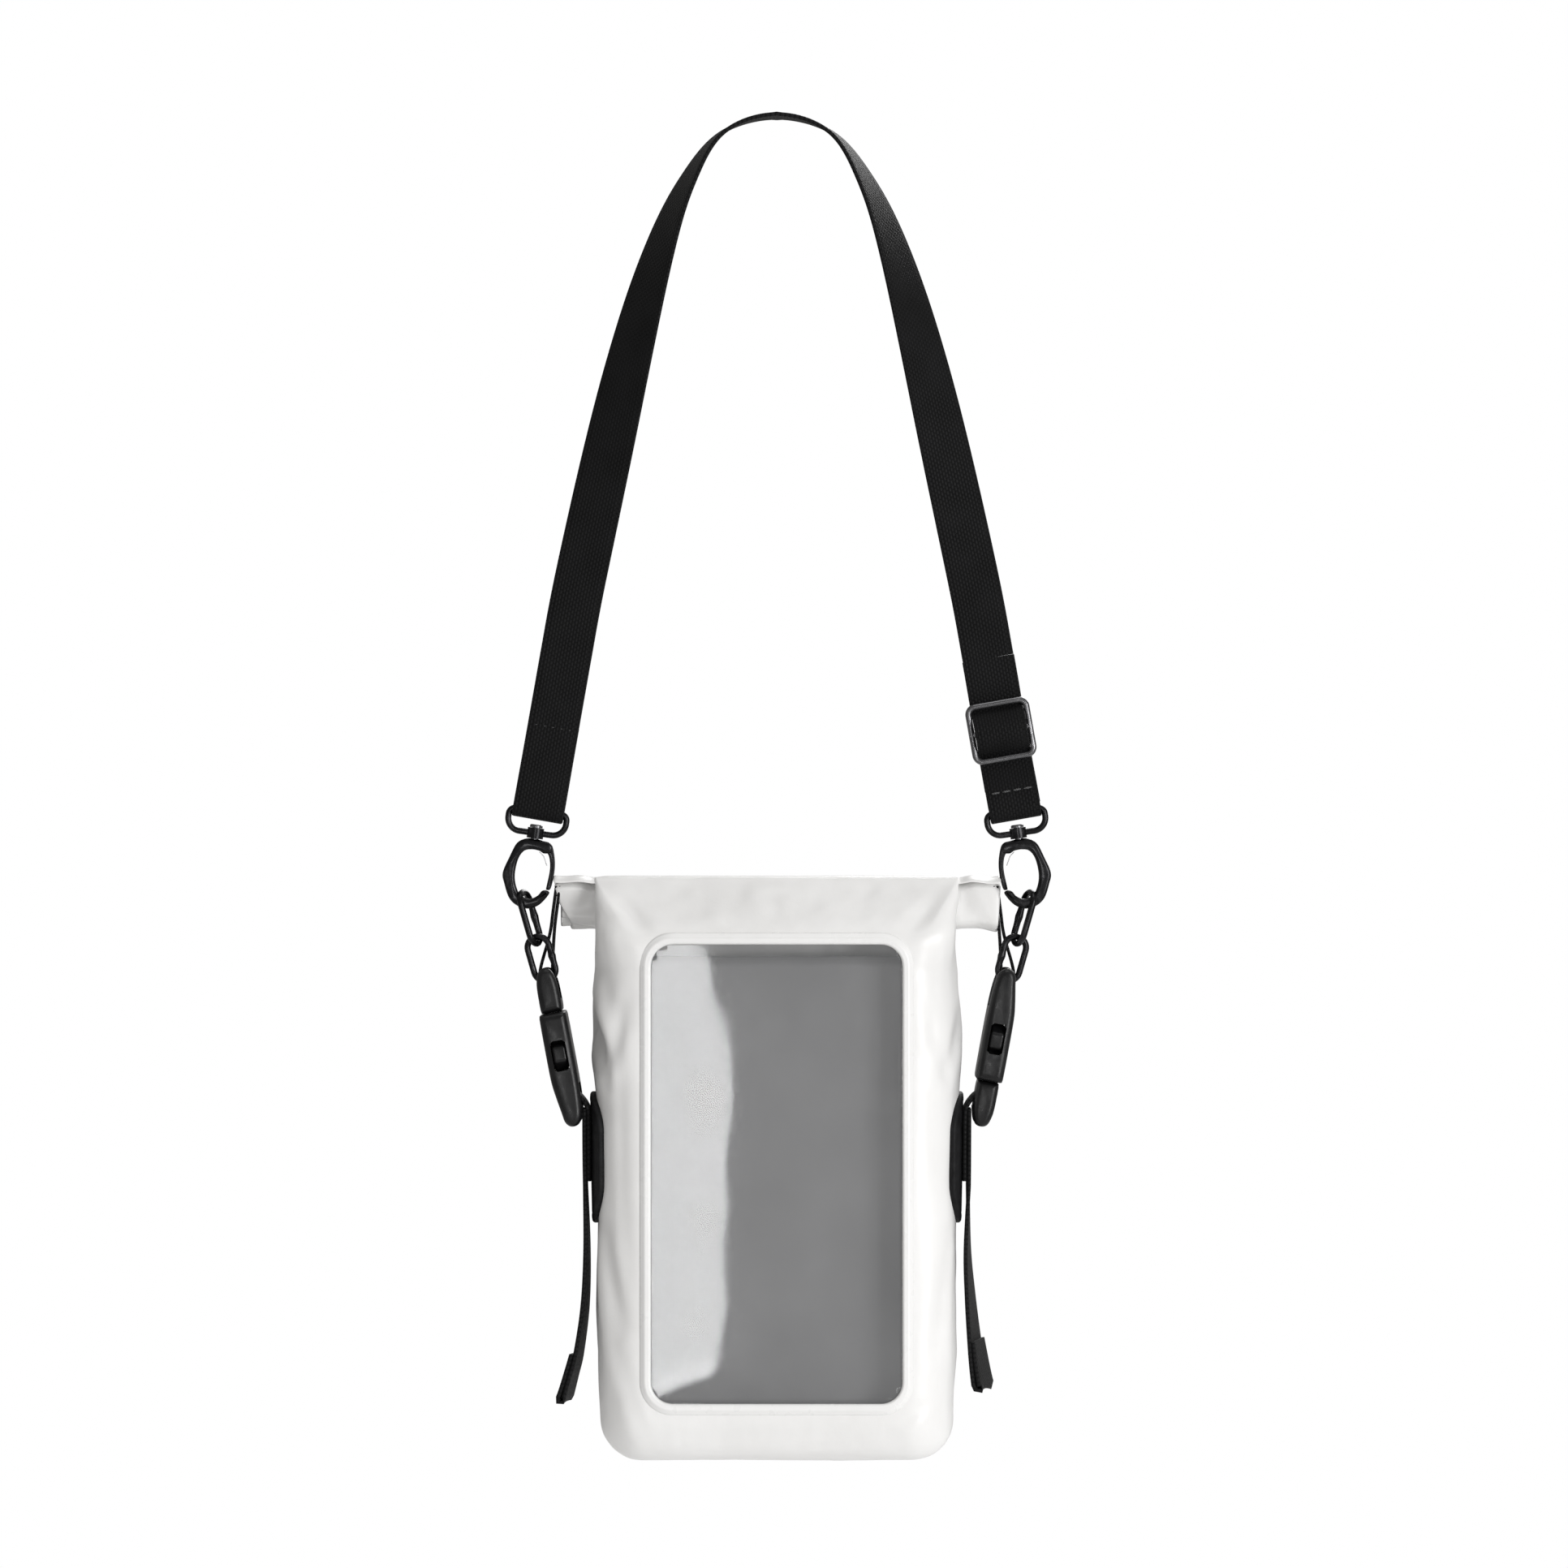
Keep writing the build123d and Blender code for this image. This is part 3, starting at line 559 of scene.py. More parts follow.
def stitch(holder, inward, up, y, length, flat):
    """One thick stitch as a bent lozenge of thread lying on the webbing: its points and faces."""
    ring = 8
    spans = 8
    points = []
    for i in range(spans + 1):
        t = i / spans
        radius = 0.34 * max(0.25, sin(pi * t)) ** 0.5
        reach = (t - 0.5) * length
        sink = -0.35 * (2 * t - 1) ** 2
        for k in range(ring):
            angle = 2 * pi * k / ring
            lift = radius * sin(angle) + sink
            beside = radius * cos(angle)
            x, s = (inward + reach, up + beside) if flat else (inward + beside, up + reach)
            points.append(holder.at(y - lift, s, x))
    return points, tube_faces(spans + 1, ring)


def build_seam(name, side, replaced, depth, places):
    """All the stitches of one seam as one piece, from (inward, up, length, lies across) places."""
    points = []
    faces = []
    for inward, up, length, flat in places:
        more, theirs = stitch(strap_frames[side], inward, up, depth - half_web - 0.02, length, flat)
        faces += [tuple(index + len(points) for index in face) for face in theirs]
        points += more
    make_piece(name, points, faces, thread, "strap", [replaced])


def build_strap_stitches():
    """The box of stitches on the left fold, and the stop row on the right one."""
    box = [(x, up, 2.5, True) for up in (25.6, 32.8) for x in (-6.6, -3.3, 0, 3.3, 6.6)]
    box += [(x, up, 2.2, False) for x in (-8.3, 8.3) for up in (27.4, 31.0)]
    build_seam("left_box_seam", "left", "fold_stitches", 0, box)
    row = [(x, 8.0, 3.1, True) for x in (-6.3, -2.1, 2.1, 6.3)]
    build_seam("right_stop_seam", "right", "stop_stitches", -fold_layer, row)


# ---- the bag's shell ----
def between(value, stops):
    """Straight-line values between (place, value) stops that run from high to low places."""
    if value >= stops[0][0]:
        return stops[0][1]
    for (high, first), (low, second) in zip(stops, stops[1:]):
        if value >= low:
            return second + (first - second) * (value - low) / (high - low)
    return stops[-1][1]


half_width_stops = [(-297, 70.6), (-306, 70.2), (-318, 69.7), (-345, 70.3), (-365, 70.9), (-392, 70.0),
                    (-445, 69.4), (-480, 69.2), (bottom_start, 68.3)]
front_stops = [(-296, -2.6), (-297.5, -3.9), (-301, -7.6), (-312, -19.6), (-315.5, -22.9), (-318.5, -24.7),
               (-322, -25.0), (bottom_start, -25.0)]
back_stops = [(-296, -1.2), (-314, -0.4), (-319, 1.6), (-325, 7.4), (-336, 19.6), (-342, 23.6), (-350, 25.2),
              (-420, 26.6), (-480, 26.0), (bottom_start, 25.0)]


def section_at(z):
    """Half width, front and back of the shell at a height, and its corner radius."""
    half, front, back = [between(z, stops) for stops in (half_width_stops, front_stops, back_stops)]
    radius = min(half - window_half, (back - front) / 2 - 0.05)
    return half, front, back, radius


front_steps = round(window_width / grid_step)
corner_steps = 12
side_steps = 6


def section_points(half, front, back, radius, z):
    """One closed ring of the shell, starting at the front's left corner and going to the right."""
    flat = half - radius
    ring = [Vector((-flat + 2 * flat * i / front_steps, front, z)) for i in range(front_steps + 1)]
    corners = [(flat, front + radius, -90), (flat, back - radius, 0),
               (-flat, back - radius, 90), (-flat, front + radius, 180)]
    for number, (x, y, start) in enumerate(corners):
        first = 1 if number in (0, 2) else 0
        last = corner_steps if number in (1, 3) else corner_steps + 1
        for i in range(first, last):
            angle = radians(start + 90 * i / corner_steps)
            ring.append(Vector((x + radius * cos(angle), y + radius * sin(angle), z)))
        if number in (0, 2):
            y_next = corners[number + 1][1]
            x_side = x + radius * (1 if number == 0 else -1)
            ring += [Vector((x_side, y + (y_next - y) * (i / side_steps), z)) for i in range(1, side_steps)]
        if number == 1:
            ring += [Vector((flat - 2 * flat * i / front_steps, back, z)) for i in range(front_steps)]
    return ring


def window_distance(x, z):
    """Signed distance to the window's rounded outline, and the direction away from it."""
    dx = abs(x) - (window_half - window_radius)
    dz = abs(z - window_z) - (window_height / 2 - window_radius)
    if dx > 0 and dz > 0:
        length = hypot(dx, dz)
        way = (dx / length, dz / length)
        distance = length - window_radius
    else:
        distance = max(dx, dz) - window_radius
        way = (1, 0) if dx > dz else (0, 1)
    side_x = 1 if x > 0 else -1
    side_z = 1 if z > window_z else -1
    return distance, way[0] * side_x, way[1] * side_z


# Each crease runs from one point to another (x, y, z), with its half width and its depth; a negative
# depth is a ridge. They follow how the film pulls from the roll's corners, the patches and the window.
crease_scale = 1.3
creases = [
    ((-68.5, -8, -303), (-51, -25, -325), 2.6, -0.8),
    ((-60, -13, -306), (-50, -22, -316), 3.2, 0.7),
    ((68.5, -8, -303), (51, -25, -325), 2.8, -0.7),
    ((60, -13, -306), (51, -22, -317), 3.5, 0.6),
    ((-71, -4, -352), (-68, -14, -364), 6.0, 3.2),
    ((-69, -14, -338), (-64, -21, -372), 3.0, -0.9),
    ((-66, -18, -376), (-57, -25, -340), 2.6, 0.8),
    ((-62, -23, -345), (-57, -25, -470), 2.4, 0.55),
    ((-67, -16, -432), (-60, -24, -470), 3.0, 0.8),
    ((-69, -10, -436), (-65, -20, -490), 3.6, -0.7),
    ((-60, -24, -482), (-52, -25, -508), 2.6, 0.5),
    ((70, -8, -350), (66, -18, -372), 3.4, 0.9),
    ((66, -18, -374), (58, -25, -345), 2.6, 0.45),
    ((64, -21, -350), (62, -23, -372), 2.0, -0.4),
    ((67, -16, -432), (62, -23, -480), 3.0, 0.55),
    ((49, -25, -505), (56, -24.6, -499), 1.9, 0.75),
    ((-30, -25, -512), (25, -25, -510), 2.6, 0.25),
    ((-40, 20, -340), (-10, 26, -372), 6.0, 1.6),
    ((45, 20, -338), (18, 26, -380), 6.0, 1.4),
    ((-55, 24, -400), (-30, 26, -490), 7.0, 1.5),
    ((50, 25, -420), (28, 26, -500), 7.0, 1.3),
    ((-8, 26, -400), (10, 26, -470), 8.0, -0.9),
    ((-30, 1, -322), (-24, 14, -334), 3.5, 0.8),
    ((22, 1, -321), (30, 14, -335), 3.5, 0.8),
]


def clamped(value, low=0.0, high=1.0):
    """The value, kept between low and high."""
    return max(low, min(high, value))


def crease_depth(point):
    total = 0.0
    for start, end, width, depth in creases:
        a = Vector(start)
        b = Vector(end)
        t = clamped((point - a).dot(b - a) / (b - a).length_squared)
        distance = (point - a.lerp(b, t)).length
        if distance < 3.5 * width:
            taper = sin(pi * (0.12 + 0.76 * t)) ** 0.7
            valley = exp(-(distance / width) ** 2)
            shoulder_rise = 0.35 * exp(-((distance - 1.8 * width) / width) ** 2)
            total += crease_scale * depth * taper * (valley - shoulder_rise)
    return total


def softness(point):
    """How far the film stands in from its plain shape at a point, in millimetres."""
    slow = noise.fractal(point * 0.018, 0.9, 2.0, 3)
    vertical = noise.fractal(Vector((point.x * 0.11, point.y * 0.11, point.z * 0.017)), 0.8, 2.0, 3)
    toward_back = clamped((point.y + 25) / 50)
    waves = slow * (0.45 + 1.9 * toward_back) + vertical * (0.32 + 0.55 * toward_back)
    return waves + crease_depth(point)


def shell_rings():
    """Every ring of the shell from the rolled mouth down and in to the middle of the bottom."""
    first_row = bag_top - 1
    straight_rows = int((first_row - bottom_start) / grid_step) + 1
    heights = [bag_top + 1, bag_top] + [first_row - grid_step * i for i in range(straight_rows)]
    rings = [section_points(*section_at(z), z) for z in heights]
    half, front, back, radius = section_at(bottom_start)

    def add_inset_ring(inset, smallest, z):
        inner = max(radius - inset, smallest)
        rings.append(section_points(half - inset, front + inset, back - inset, inner, z))

    bend_steps = 10
    for i in range(bend_steps + 1):
        angle = radians(90 * i / bend_steps)
        add_inset_ring(bottom_radius * (1 - cos(angle)), 0.4, bottom_start - bottom_radius * sin(angle))
    for inset in (17.2, 19.2, 21.2, 23.2, 24.9):
        add_inset_ring(inset, 0.05, bag_bottom - 0.1)
    return rings


def on_window_side(point):
    """Whether a point of the shell is on the flat front, away from the rounded corners."""
    return point.y < -20


def snapped_to_window(x, z, distance, way_x, way_z):
    """Moves a grid point that is close to the window's round corners onto the outline."""
    if abs(distance) < corner_reach and way_x and way_z:
        return x - distance * way_x, z - distance * way_z
    return x, z


def faces_where(points, faces, wanted):
    """The faces whose middle is wanted."""
    return [face for face in faces if wanted(sum((points[i] for i in face), Vector()) / 4)]


def outward_at(rings, row, column):
    """The direction square to the shell at one of its points."""
    ring = rings[row]
    point = ring[column]
    above = rings[max(row - 1, 0)]
    below = rings[min(row + 1, len(rings) - 1)]
    around = ring[(column + 1) % len(ring)] - ring[column - 1]
    outward = around.cross(below[column] - above[column])
    if outward.length < 1e-6:
        outward = Vector((0, 0, -1))
    outward.normalize()
    if outward.dot(Vector((point.x * 0.4, point.y, 0))) < 0 and abs(outward.z) < 0.9:
        outward = -outward
    return outward


def shell_point(point, outward):
    """Where a point of the plain shell goes, held still round the window, the bottom and the mouth."""
    distance, way_x, way_z = window_distance(point.x, point.z)
    moved = point.copy()
    keep = 1.0
    if on_window_side(point):
        moved.x, moved.z = snapped_to_window(point.x, point.z, distance, way_x, way_z)
        keep = clamped((distance - 2.5) / 7.0)
    if point.z < bag_bottom + 6:
        keep *= 0.3
    if point.z > bag_top - 2:
        keep *= 0.4
    return moved - outward * softness(point) * keep


def close_bottom(work):
    """Joins the points that meet at the corners and along the bottom's middle line."""
    bmesh.ops.remove_doubles(work, verts=work.verts, dist=0.12 * mm)
    low = (bag_bottom + 0.05) * mm
    last = [v for v in work.verts if v.co.z < low and abs(v.co.y) < 0.4 * mm]
    bmesh.ops.remove_doubles(work, verts=last, dist=0.6 * mm)
    drop_loose_points(work)
    face_outwards(work)


def build_shell():
    """The bag's film: one lofted skin that sags, creased at its corners and cut out for the window."""
    rings = shell_rings()
    columns = len(rings[0])
    points = [shell_point(point, outward_at(rings, row, column))
              for row, ring in enumerate(rings) for column, point in enumerate(ring)]

    def outside_window(middle):
        return not on_window_side(middle) or window_distance(middle.x, middle.z)[0] >= -0.01

    faces = faces_where(points, grid_faces(len(rings), columns, closed=True), outside_window)
    nodes = ["front_panel", "back_panel", "left_side_panel", "right_side_panel", "bottom_panel", "collar"]
    shell = make_piece("bag_shell", points, faces, white_film, "bag", nodes)
    rework(shell.data, close_bottom)
    thicken(shell, 0.8)
    subdivide(shell)


# ---- window, its rim and the phone's pocket ----
def crown(x, z):
    """How far the window's film stands proud of flat: a low crown with faint waves."""
    u = max(0.0, 1 - (x / window_half) ** 2)
    v = max(0.0, 1 - ((z - window_z) / (window_height / 2)) ** 2)
    wave = noise.fractal(Vector((x * 0.035, 7.0, z * 0.02)), 0.8, 2.0, 2)
    return 0.35 * u * v ** 0.5 + 0.022 * wave * min(1.0, 4 * u) * min(1.0, 4 * v)


window_front = section_at(window_z)[1]


def window_sheet():
    """A grid over the window's rounded outline: its points and faces."""
    columns = front_steps + 1
    rows = round(window_height / grid_step) + 1
    points = []
    for row in range(rows):
        for column in range(columns):
            x = -window_half + grid_step * column
            z = window_z + window_height / 2 - grid_step * row
            x, z = snapped_to_window(x, z, *window_distance(x, z))
            points.append(Vector((x, window_front + 0.2 - crown(x, z), z)))
    return points, faces_where(points, grid_faces(rows, columns),
                               lambda middle: window_distance(middle.x, middle.z)[0] < 0)


def build_window():
    """The clear film, with its crown towards the front."""
    pane = make_piece("clear_window", *window_sheet(), clear_film, "bag", ["phone_window"])
    rework(pane.data, drop_loose_points)
    thicken(pane, 0.5, 0.0)


def outline(offset, step=1.6):
    """Points round the window's outline, pushed outwards by an offset."""
    radius = window_radius + offset
    wide = window_half - window_radius
    tall = window_height / 2 - window_radius
    line = []
    corners = [(wide, tall, 0), (-wide, tall, 90), (-wide, -tall, 180), (wide, -tall, 270)]
    for number, (x, z, start) in enumerate(corners):
        places = [(x, z, start + 9 * i) for i in range(11)]
        x_next, z_next, _ = corners[(number + 1) % 4]
        count = round(hypot(x_next - x, z_next - z) / step)
        places += [(x + (x_next - x) * (i / count), z + (z_next - z) * (i / count), start + 90)
                   for i in range(1, count)]
        for px, pz, turn in places:
            angle = radians(turn)
            line.append(Vector((px + radius * cos(angle), 0, window_z + pz + radius * sin(angle))))
    return line


def build_rim():
    """The welded rim: a low rounded bead over the joint, with a pressed groove along its middle."""
    profile = [(-1.7, -0.55), (-1.65, 0.35), (-1.2, 0.85), (-0.5, 1.0), (-0.1, 0.86), (0.3, 1.0),
               (0.9, 0.95), (1.5, 0.6), (2.1, 0.22), (2.8, 0.02), (2.9, -0.5)]
    rows = []
    for offset, height in profile:
        ring = outline(offset)
        for p in ring:
            ripple = 0.05 * noise.noise(Vector((p.x * 0.09, offset * 0.2, p.z * 0.09)))
            corner_fall = max(0.0, abs(p.x) - window_half) ** 2 / 40.0
            p.y = window_front - height * rim_height + ripple + corner_fall
        rows.append(ring)
    points = [p for ring in rows for p in ring]
    faces = hoop_faces(len(rows), len(rows[0]))
    make_piece("window_weld", points, faces, welded_film, "bag", ["window_rim"])


def build_pocket():
    """The phone's pocket: a soft sheet behind the window with gussets at its sides and base."""
    margin = 1.6
    half = window_half + margin
    depth = 12.4
    front = -23.4
    full_reach = depth * 2 + 2 * half
    low = window_z - window_height / 2 - margin
    high = window_z + window_height / 2 - 6.5
    rows = 46
    columns = 31
    points = []
    for row in range(rows):
        z = high + (low - high) * row / (rows - 1)
        for column in range(columns):
            t = column / (columns - 1)
            reach = full_reach * t
            if reach < depth:
                x, y = -half, front + reach
            elif reach > depth + 2 * half:
                x, y = half, front + (full_reach - reach)
            else:
                x, y = reach - depth - half, front + depth
            sag = 0.5 * noise.fractal(Vector((x * 0.03, 3.0, z * 0.02)), 0.8, 2.0, 3)
            points.append(Vector((x, min(y + (sag if abs(x) < half else 0), front + depth + 0.4), z)))
    faces = grid_faces(rows, columns)
    base = len(points)
    floor = [(-half, front), (half, front), (half, front + depth), (-half, front + depth)]
    points += [Vector((x, y, low)) for x, y in floor]
    faces.append((base, base + 1, base + 2, base + 3))
    pocket = make_piece("phone_pocket", points, faces, pocket_film, "bag",
                        ["pocket_backing", "pocket_gussets"])
    thicken(pocket, 0.6, 0.0)


# ---- the rolled mouth ----
def roll_line():
    """The roll's section from the collar's top, over and round the stiffener: (y, z, turns left) triples."""
    core = 5.0
    outer = 5.35
    inner = 2.0
    turns = 2.4
    steps = 110
    start_angle = radians(100)
    from_collar = [(-3.7, -298.2), (-2.2, -297.1), (0.6, -296.0), (3.4, -295.75)]
    line = [(y, z, 1.0) for y, z in from_collar]
    for i in range(steps + 1):
        t = i / steps
        angle = start_angle - 2 * pi * turns * t
        reach = outer + (inner - outer) * t
        lift = core * clamped(6 * sin(angle), -1.0)
        line.append((roll_y + reach * cos(angle), roll_z + lift + reach * sin(angle), 1.0 - t))
    return line


def roll_end(sign, z, left):
    """Where a layer of the roll ends, from the middle: inner layers stand out a little, lower down."""
    base, cut_back = (87.0, 7.6) if sign < 0 else (87.3, 1.4)
    low = clamped((bag_top - z) / 21.0)
    if left > 0.62:
        return base - cut_back * low ** 1.5 - 0.3
    return base - 1.5 - 2.5 * (1 - left)


def roll_give(x, y, z, left):
    """How far a point of the roll stands out from its plain section: pinched and wound at its ends."""
    past = max(0.0, abs(x) - roll_end_start)
    pinch = -0.9 * exp(-((abs(x) - 71.5) / 3.2) ** 2)
    wind = sin(past * 0.35 + 3.1 * left + 1.9 * (z - roll_z) * 0.1) * min(1.0, past / 8.0)
    twist = wind * (0.4 if x < 0 else 0.75)
    hollow = 0.0
    if x < 0 and y < roll_y:
        hollow = -0.17 * past * clamped((-301.5 - z) / 4.0)
    soft = 0.45 * noise.fractal(Vector((x * 0.03, y * 0.12, z * 0.12)), 0.9, 2.0, 3)
    flare = 0.25 * min(1.0, past / 20.0)
    joined_to_collar = left > 0.999 and past <= 2
    return (pinch + twist + hollow + soft + flare) * (0.35 if joined_to_collar else 1.0)


def build_roll():
    """Three turns of film round the stiffener, loose and a little conical at the ends."""
    line = roll_line()
    columns = 96
    points = []
    for y, z, left in line:
        ends = [roll_end(sign, z, left) for sign in (-1, 1)]
        away = Vector((0, y - roll_y, z - roll_z))
        reach = away.length
        away.normalize()
        for column in range(columns):
            x = -ends[0] + (ends[0] + ends[1]) * column / (columns - 1)
            points.append(Vector((x, y, z)) + away * roll_give(x, y, z, left) * min(1.0, reach / 5.0))
    faces = grid_faces(len(line), columns)
    roll = make_piece("rolled_mouth", points, faces, white_film, "bag", ["roll_top"])
    thicken(roll, 0.9, 0.0)
    subdivide(roll)


# ---- patches, tabs and side webbing ----
def side_surface(y, z):
    """How far out from the middle the shell's side is at a depth and height."""
    half, front, back, radius = section_at(z)
    over = max(0.0, (front + radius) - y, y - (back - radius))
    if over >= radius:
        return half - radius
    return half - radius + (radius ** 2 - over ** 2) ** 0.5


def build_patch(side, sign):
    """An oval rubber patch wrapped round the bag's side, with a bevelled edge and a moulded border."""
    height = 51.0
    width = 31.0
    straight = (height - width) / 2
    border = 0.80
    profile = [(1.0, -0.5), (1.0, 0.9), (0.985, 1.5), (0.955, 1.9), (0.90, 2.05), (0.865, 1.75),
               (0.84, 1.72), (border, 2.0), (0.6, 2.1), (0.4, 2.15), (0.2, 2.15)]
    around = 72
    points = []
    for scale, lift in profile:
        for i in range(around):
            angle = 2 * pi * i / around
            y = width / 2 * cos(angle)
            z = width / 2 * sin(angle) + (straight if sin(angle) >= 0 else -straight)
            inset = (1 - scale) * width / 2
            length = hypot(y, z)
            y -= y / length * inset
            z -= z / length * inset * (1 + straight / width)
            if scale < border:
                y *= scale / border
                z *= scale / border
            tilt = clamped(y / 24.0, -1.0)
            out = Vector((sign * cos(tilt), sin(tilt), 0)) * lift
            points.append(Vector((sign * side_surface(y, patch_z + z), y, patch_z + z)) + out)
    faces = grid_faces(len(profile), around, closed=True)
    last = (len(profile) - 1) * around
    faces.append(tuple(range(last, last + around)))
    make_piece(f"{side}_rubber_patch", points, faces, black_rubber, "bag", [f"{side}_patch"])


def buckle_frame(sign):
    """The buckle hangs from its upper end bar and leans in towards the patch."""
    return Leaning((sign * end_bar_x, 0, end_bar_z), sign, buckle_lean)


def route_at(sign, places, depth=0):
    """Points beside the bag from (outward, up) places, at one depth."""
    return [Vector((sign * x, depth, z)) for x, z in places]


def build_side_webbing(side, sign):
    """Webbing from under the patch, over the buckle's ladder bar and back down to where the tail starts."""
    ladder = buckle_frame(sign).at(0, -ladder_drop, ladder_inset)
    x = abs(ladder.x)
    z = ladder.z
    anchor_x = 72.6
    reach = end_bar_radius + half_web + 0.15
    places = [(anchor_x, -413.5), (anchor_x, -389), (anchor_x + 0.6, -384.5), (x - reach - 0.4, z + 1.6),
              (x - 1.0, z + reach + 0.7), (x + reach + 0.4, z + reach - 0.4),
              (x + reach + 0.1, z - reach + 0.6), (x - 0.4, z - reach - 0.6), (anchor_x + 3.1, -385.4)]
    route = rounded(route_at(sign, places))
    ribbon(f"{side}_ladder_webbing", route, across_y, "bag", [f"{side}_side_webbing"])


tail_routes = {
    "left": [(74.45, -385.6), (74.4, -400), (74.2, -414), (73.6, -440), (74.3, -461.8), (76.8, -480.6),
             (79.0, -489.6), (81.0, -497.2)],
    "right": [(74.45, -385.6), (74.4, -400), (74.3, -414), (73.9, -440), (75.0, -458.7), (76.6, -476),
              (77.6, -485), (78.6, -492.0)],
}
tail_turns = {"left": -9.0, "right": 17.0}


def build_tail(side, sign):
    """The loose end: it hangs, turns a little, and is folded over at its tip."""
    route = route_at(sign, tail_routes[side])
    hanging = spaced(catmull(route, 10), 1.6)
    turn_start = route[0].z - 30
    turn_end = route[-1].z

    def across(point, along):
        share = clamped((turn_start - point.z) / (turn_start - turn_end))
        turn = radians(tail_turns[side] * share)
        return Vector((sign * sin(turn), cos(turn), 0))

    tip = hanging[-1]
    down = (hanging[-1] - hanging[-4]).normalized()
    out = Vector((sign, 0, 0)) - down * down.dot(Vector((sign, 0, 0)))
    out.normalize()
    fold = [tip] + [tip + down * below + out * beside
                    for below, beside in ((2.2, 0), (2.2, 2.4), (0, 2.0), (-8, 1.75), (-16.5, 1.7))]
    whole = hanging[:-1] + rounded(fold)
    ribbon(f"{side}_loose_end", whole, across, f"{side}_hanging_tail", [f"{side}_tail"])


def build_tab(side, sign):
    """A narrow webbing loop that joins the roll's end to the buckle's end bar."""
    bar = buckle_frame(sign).origin
    reach = end_bar_radius + 0.3 + 0.6
    outer = abs(bar.x) + reach
    inner = abs(bar.x) - reach
    under = bar.z - reach * 1.05
    places = [(85.6, -299.5), (87.1, -310.0), (87.9, -318.0), (outer + 0.1, bar.z + 1.5), (outer, under),
              (inner, under), (inner, bar.z + 1.5), (86.6, -318.0), (85.7, -310.0), (84.2, -299.5)]
    route = rounded(route_at(sign, places, depth=6.4))
    ribbon(f"{side}_end_loop", route, across_y, "bag", [f"{side}_roll_tab"], narrow_webbing, 8.4, 1.1)


# ---- hooks, gates and links ----
hardware_lean = 8.0
hook_drop = 36.1
hook_thick = 4.0
hook_bevel = 1.15
gate_thick = 2.3
gate_bevel = 0.45
chain_lean = -16.0
link_turn = 24.0
link_width = 11.0
first_length = 23.1
first_thick = 2.45
second_length = 20.0
second_thick = 2.5
second_drop = 17.95


def hardware_frame(sign):
    """The place under the strap's bar that a hook hangs from."""
    return Leaning((sign * bar_x, 0, bar_z), sign, hardware_lean)


def outward_ways(outline_points):
    """At each point of a closed outline, the direction square to it and outwards."""
    count = len(outline_points)
    following = outline_points[1:] + outline_points[:1]
    area = sum(a[0] * b[1] - b[0] * a[1] for a, b in zip(outline_points, following))
    turn = 1 if area > 0 else -1
    ways = []
    for i in range(count):
        before, after = outline_points[i - 1], following[i]
        run = Vector((after[0] - before[0], after[1] - before[1])).normalized()
        ways.append((run.y * turn, -run.x * turn))
    return ways


def scaling_ways(outline_points):
    """At each point of a rounded block's outline, the direction from its middle, 1 at its far sides."""
    scaled = []
    for values in zip(*outline_points):
        middle = (max(values) + min(values)) / 2
        half = (max(values) - min(values)) / 2
        scaled.append([(value - middle) / half for value in values])
    return list(zip(*scaled))


def bevelled_plate(name, outline_points, ways, thick, bevel, holder, look, body, replaced):
    """A plate cut to a closed outline of (inward, up) points, with rounded edges on both faces."""
    rounding = [(bevel * (1 - cos(radians(a))), bevel * (1 - sin(radians(a)))) for a in (90, 60, 30, 0)]
    rings = [(inset, -thick / 2 + drop) for inset, drop in rounding]
    rings += [(inset, thick / 2 - drop) for inset, drop in reversed(rounding)]
    points = []
    for inset, y in rings:
        for (x, up), (nx, ny) in zip(outline_points, ways):
            points.append(holder.at(y, up - ny * inset, x - nx * inset))
    faces = tube_faces(len(rings), len(outline_points))
    return make_piece(name, points, faces, look, body, replaced, sharp_angle=40)


# The hook's outline, from its neck down the thick outer spine and round to the nose, then back inside.
hook_outline = [
    (3.3, -11.3), (0, -10.9), (-3.6, -11.4), (-6.6, -13.6), (-8.6, -19.0), (-10.4, -25.6), (-9.2, -29.8),
    (-6.6, -35.0), (-3.0, -37.6), (1.4, -38.1), (5.4, -36.0), (8.5, -31.4), (7.6, -30.2), (5.7, -30.5),
    (4.2, -32.6), (1.4, -34.2), (-2.2, -33.4), (-4.6, -30.0), (-5.7, -25.4), (-5.2, -19.6), (-3.4, -16.2),
    (-0.6, -15.2), (2.4, -15.3), (4.4, -16.1), (6.9, -15.5), (7.5, -13.4), (6.0, -11.7),
]
gate_outline = [
    (5.0, -12.3), (7.0, -12.6), (8.3, -15.6), (9.2, -19.6), (9.4, -24.0), (8.8, -29.3), (7.4, -29.9),
    (7.1, -29.2), (7.5, -24.0), (7.4, -20.4), (6.4, -16.8), (4.5, -14.6), (4.1, -13.2),
]


def build_hook(side, sign):
    """A snap hook's body and its gate."""
    holder = hardware_frame(sign)
    plates = [("snap_body", hook_outline, hook_thick, hook_bevel, "snap", "hook"),
              ("snap_gate", gate_outline, gate_thick, gate_bevel, "gate_arm", "gate")]
    for name, corners, thick, bevel, body, node in plates:
        edge = smooth_loop(corners)
        bevelled_plate(f"{side}_{name}", edge, outward_ways(edge), thick, bevel, holder, black_metal,
                       f"{side}_{body}", [f"{side}_{node}"])


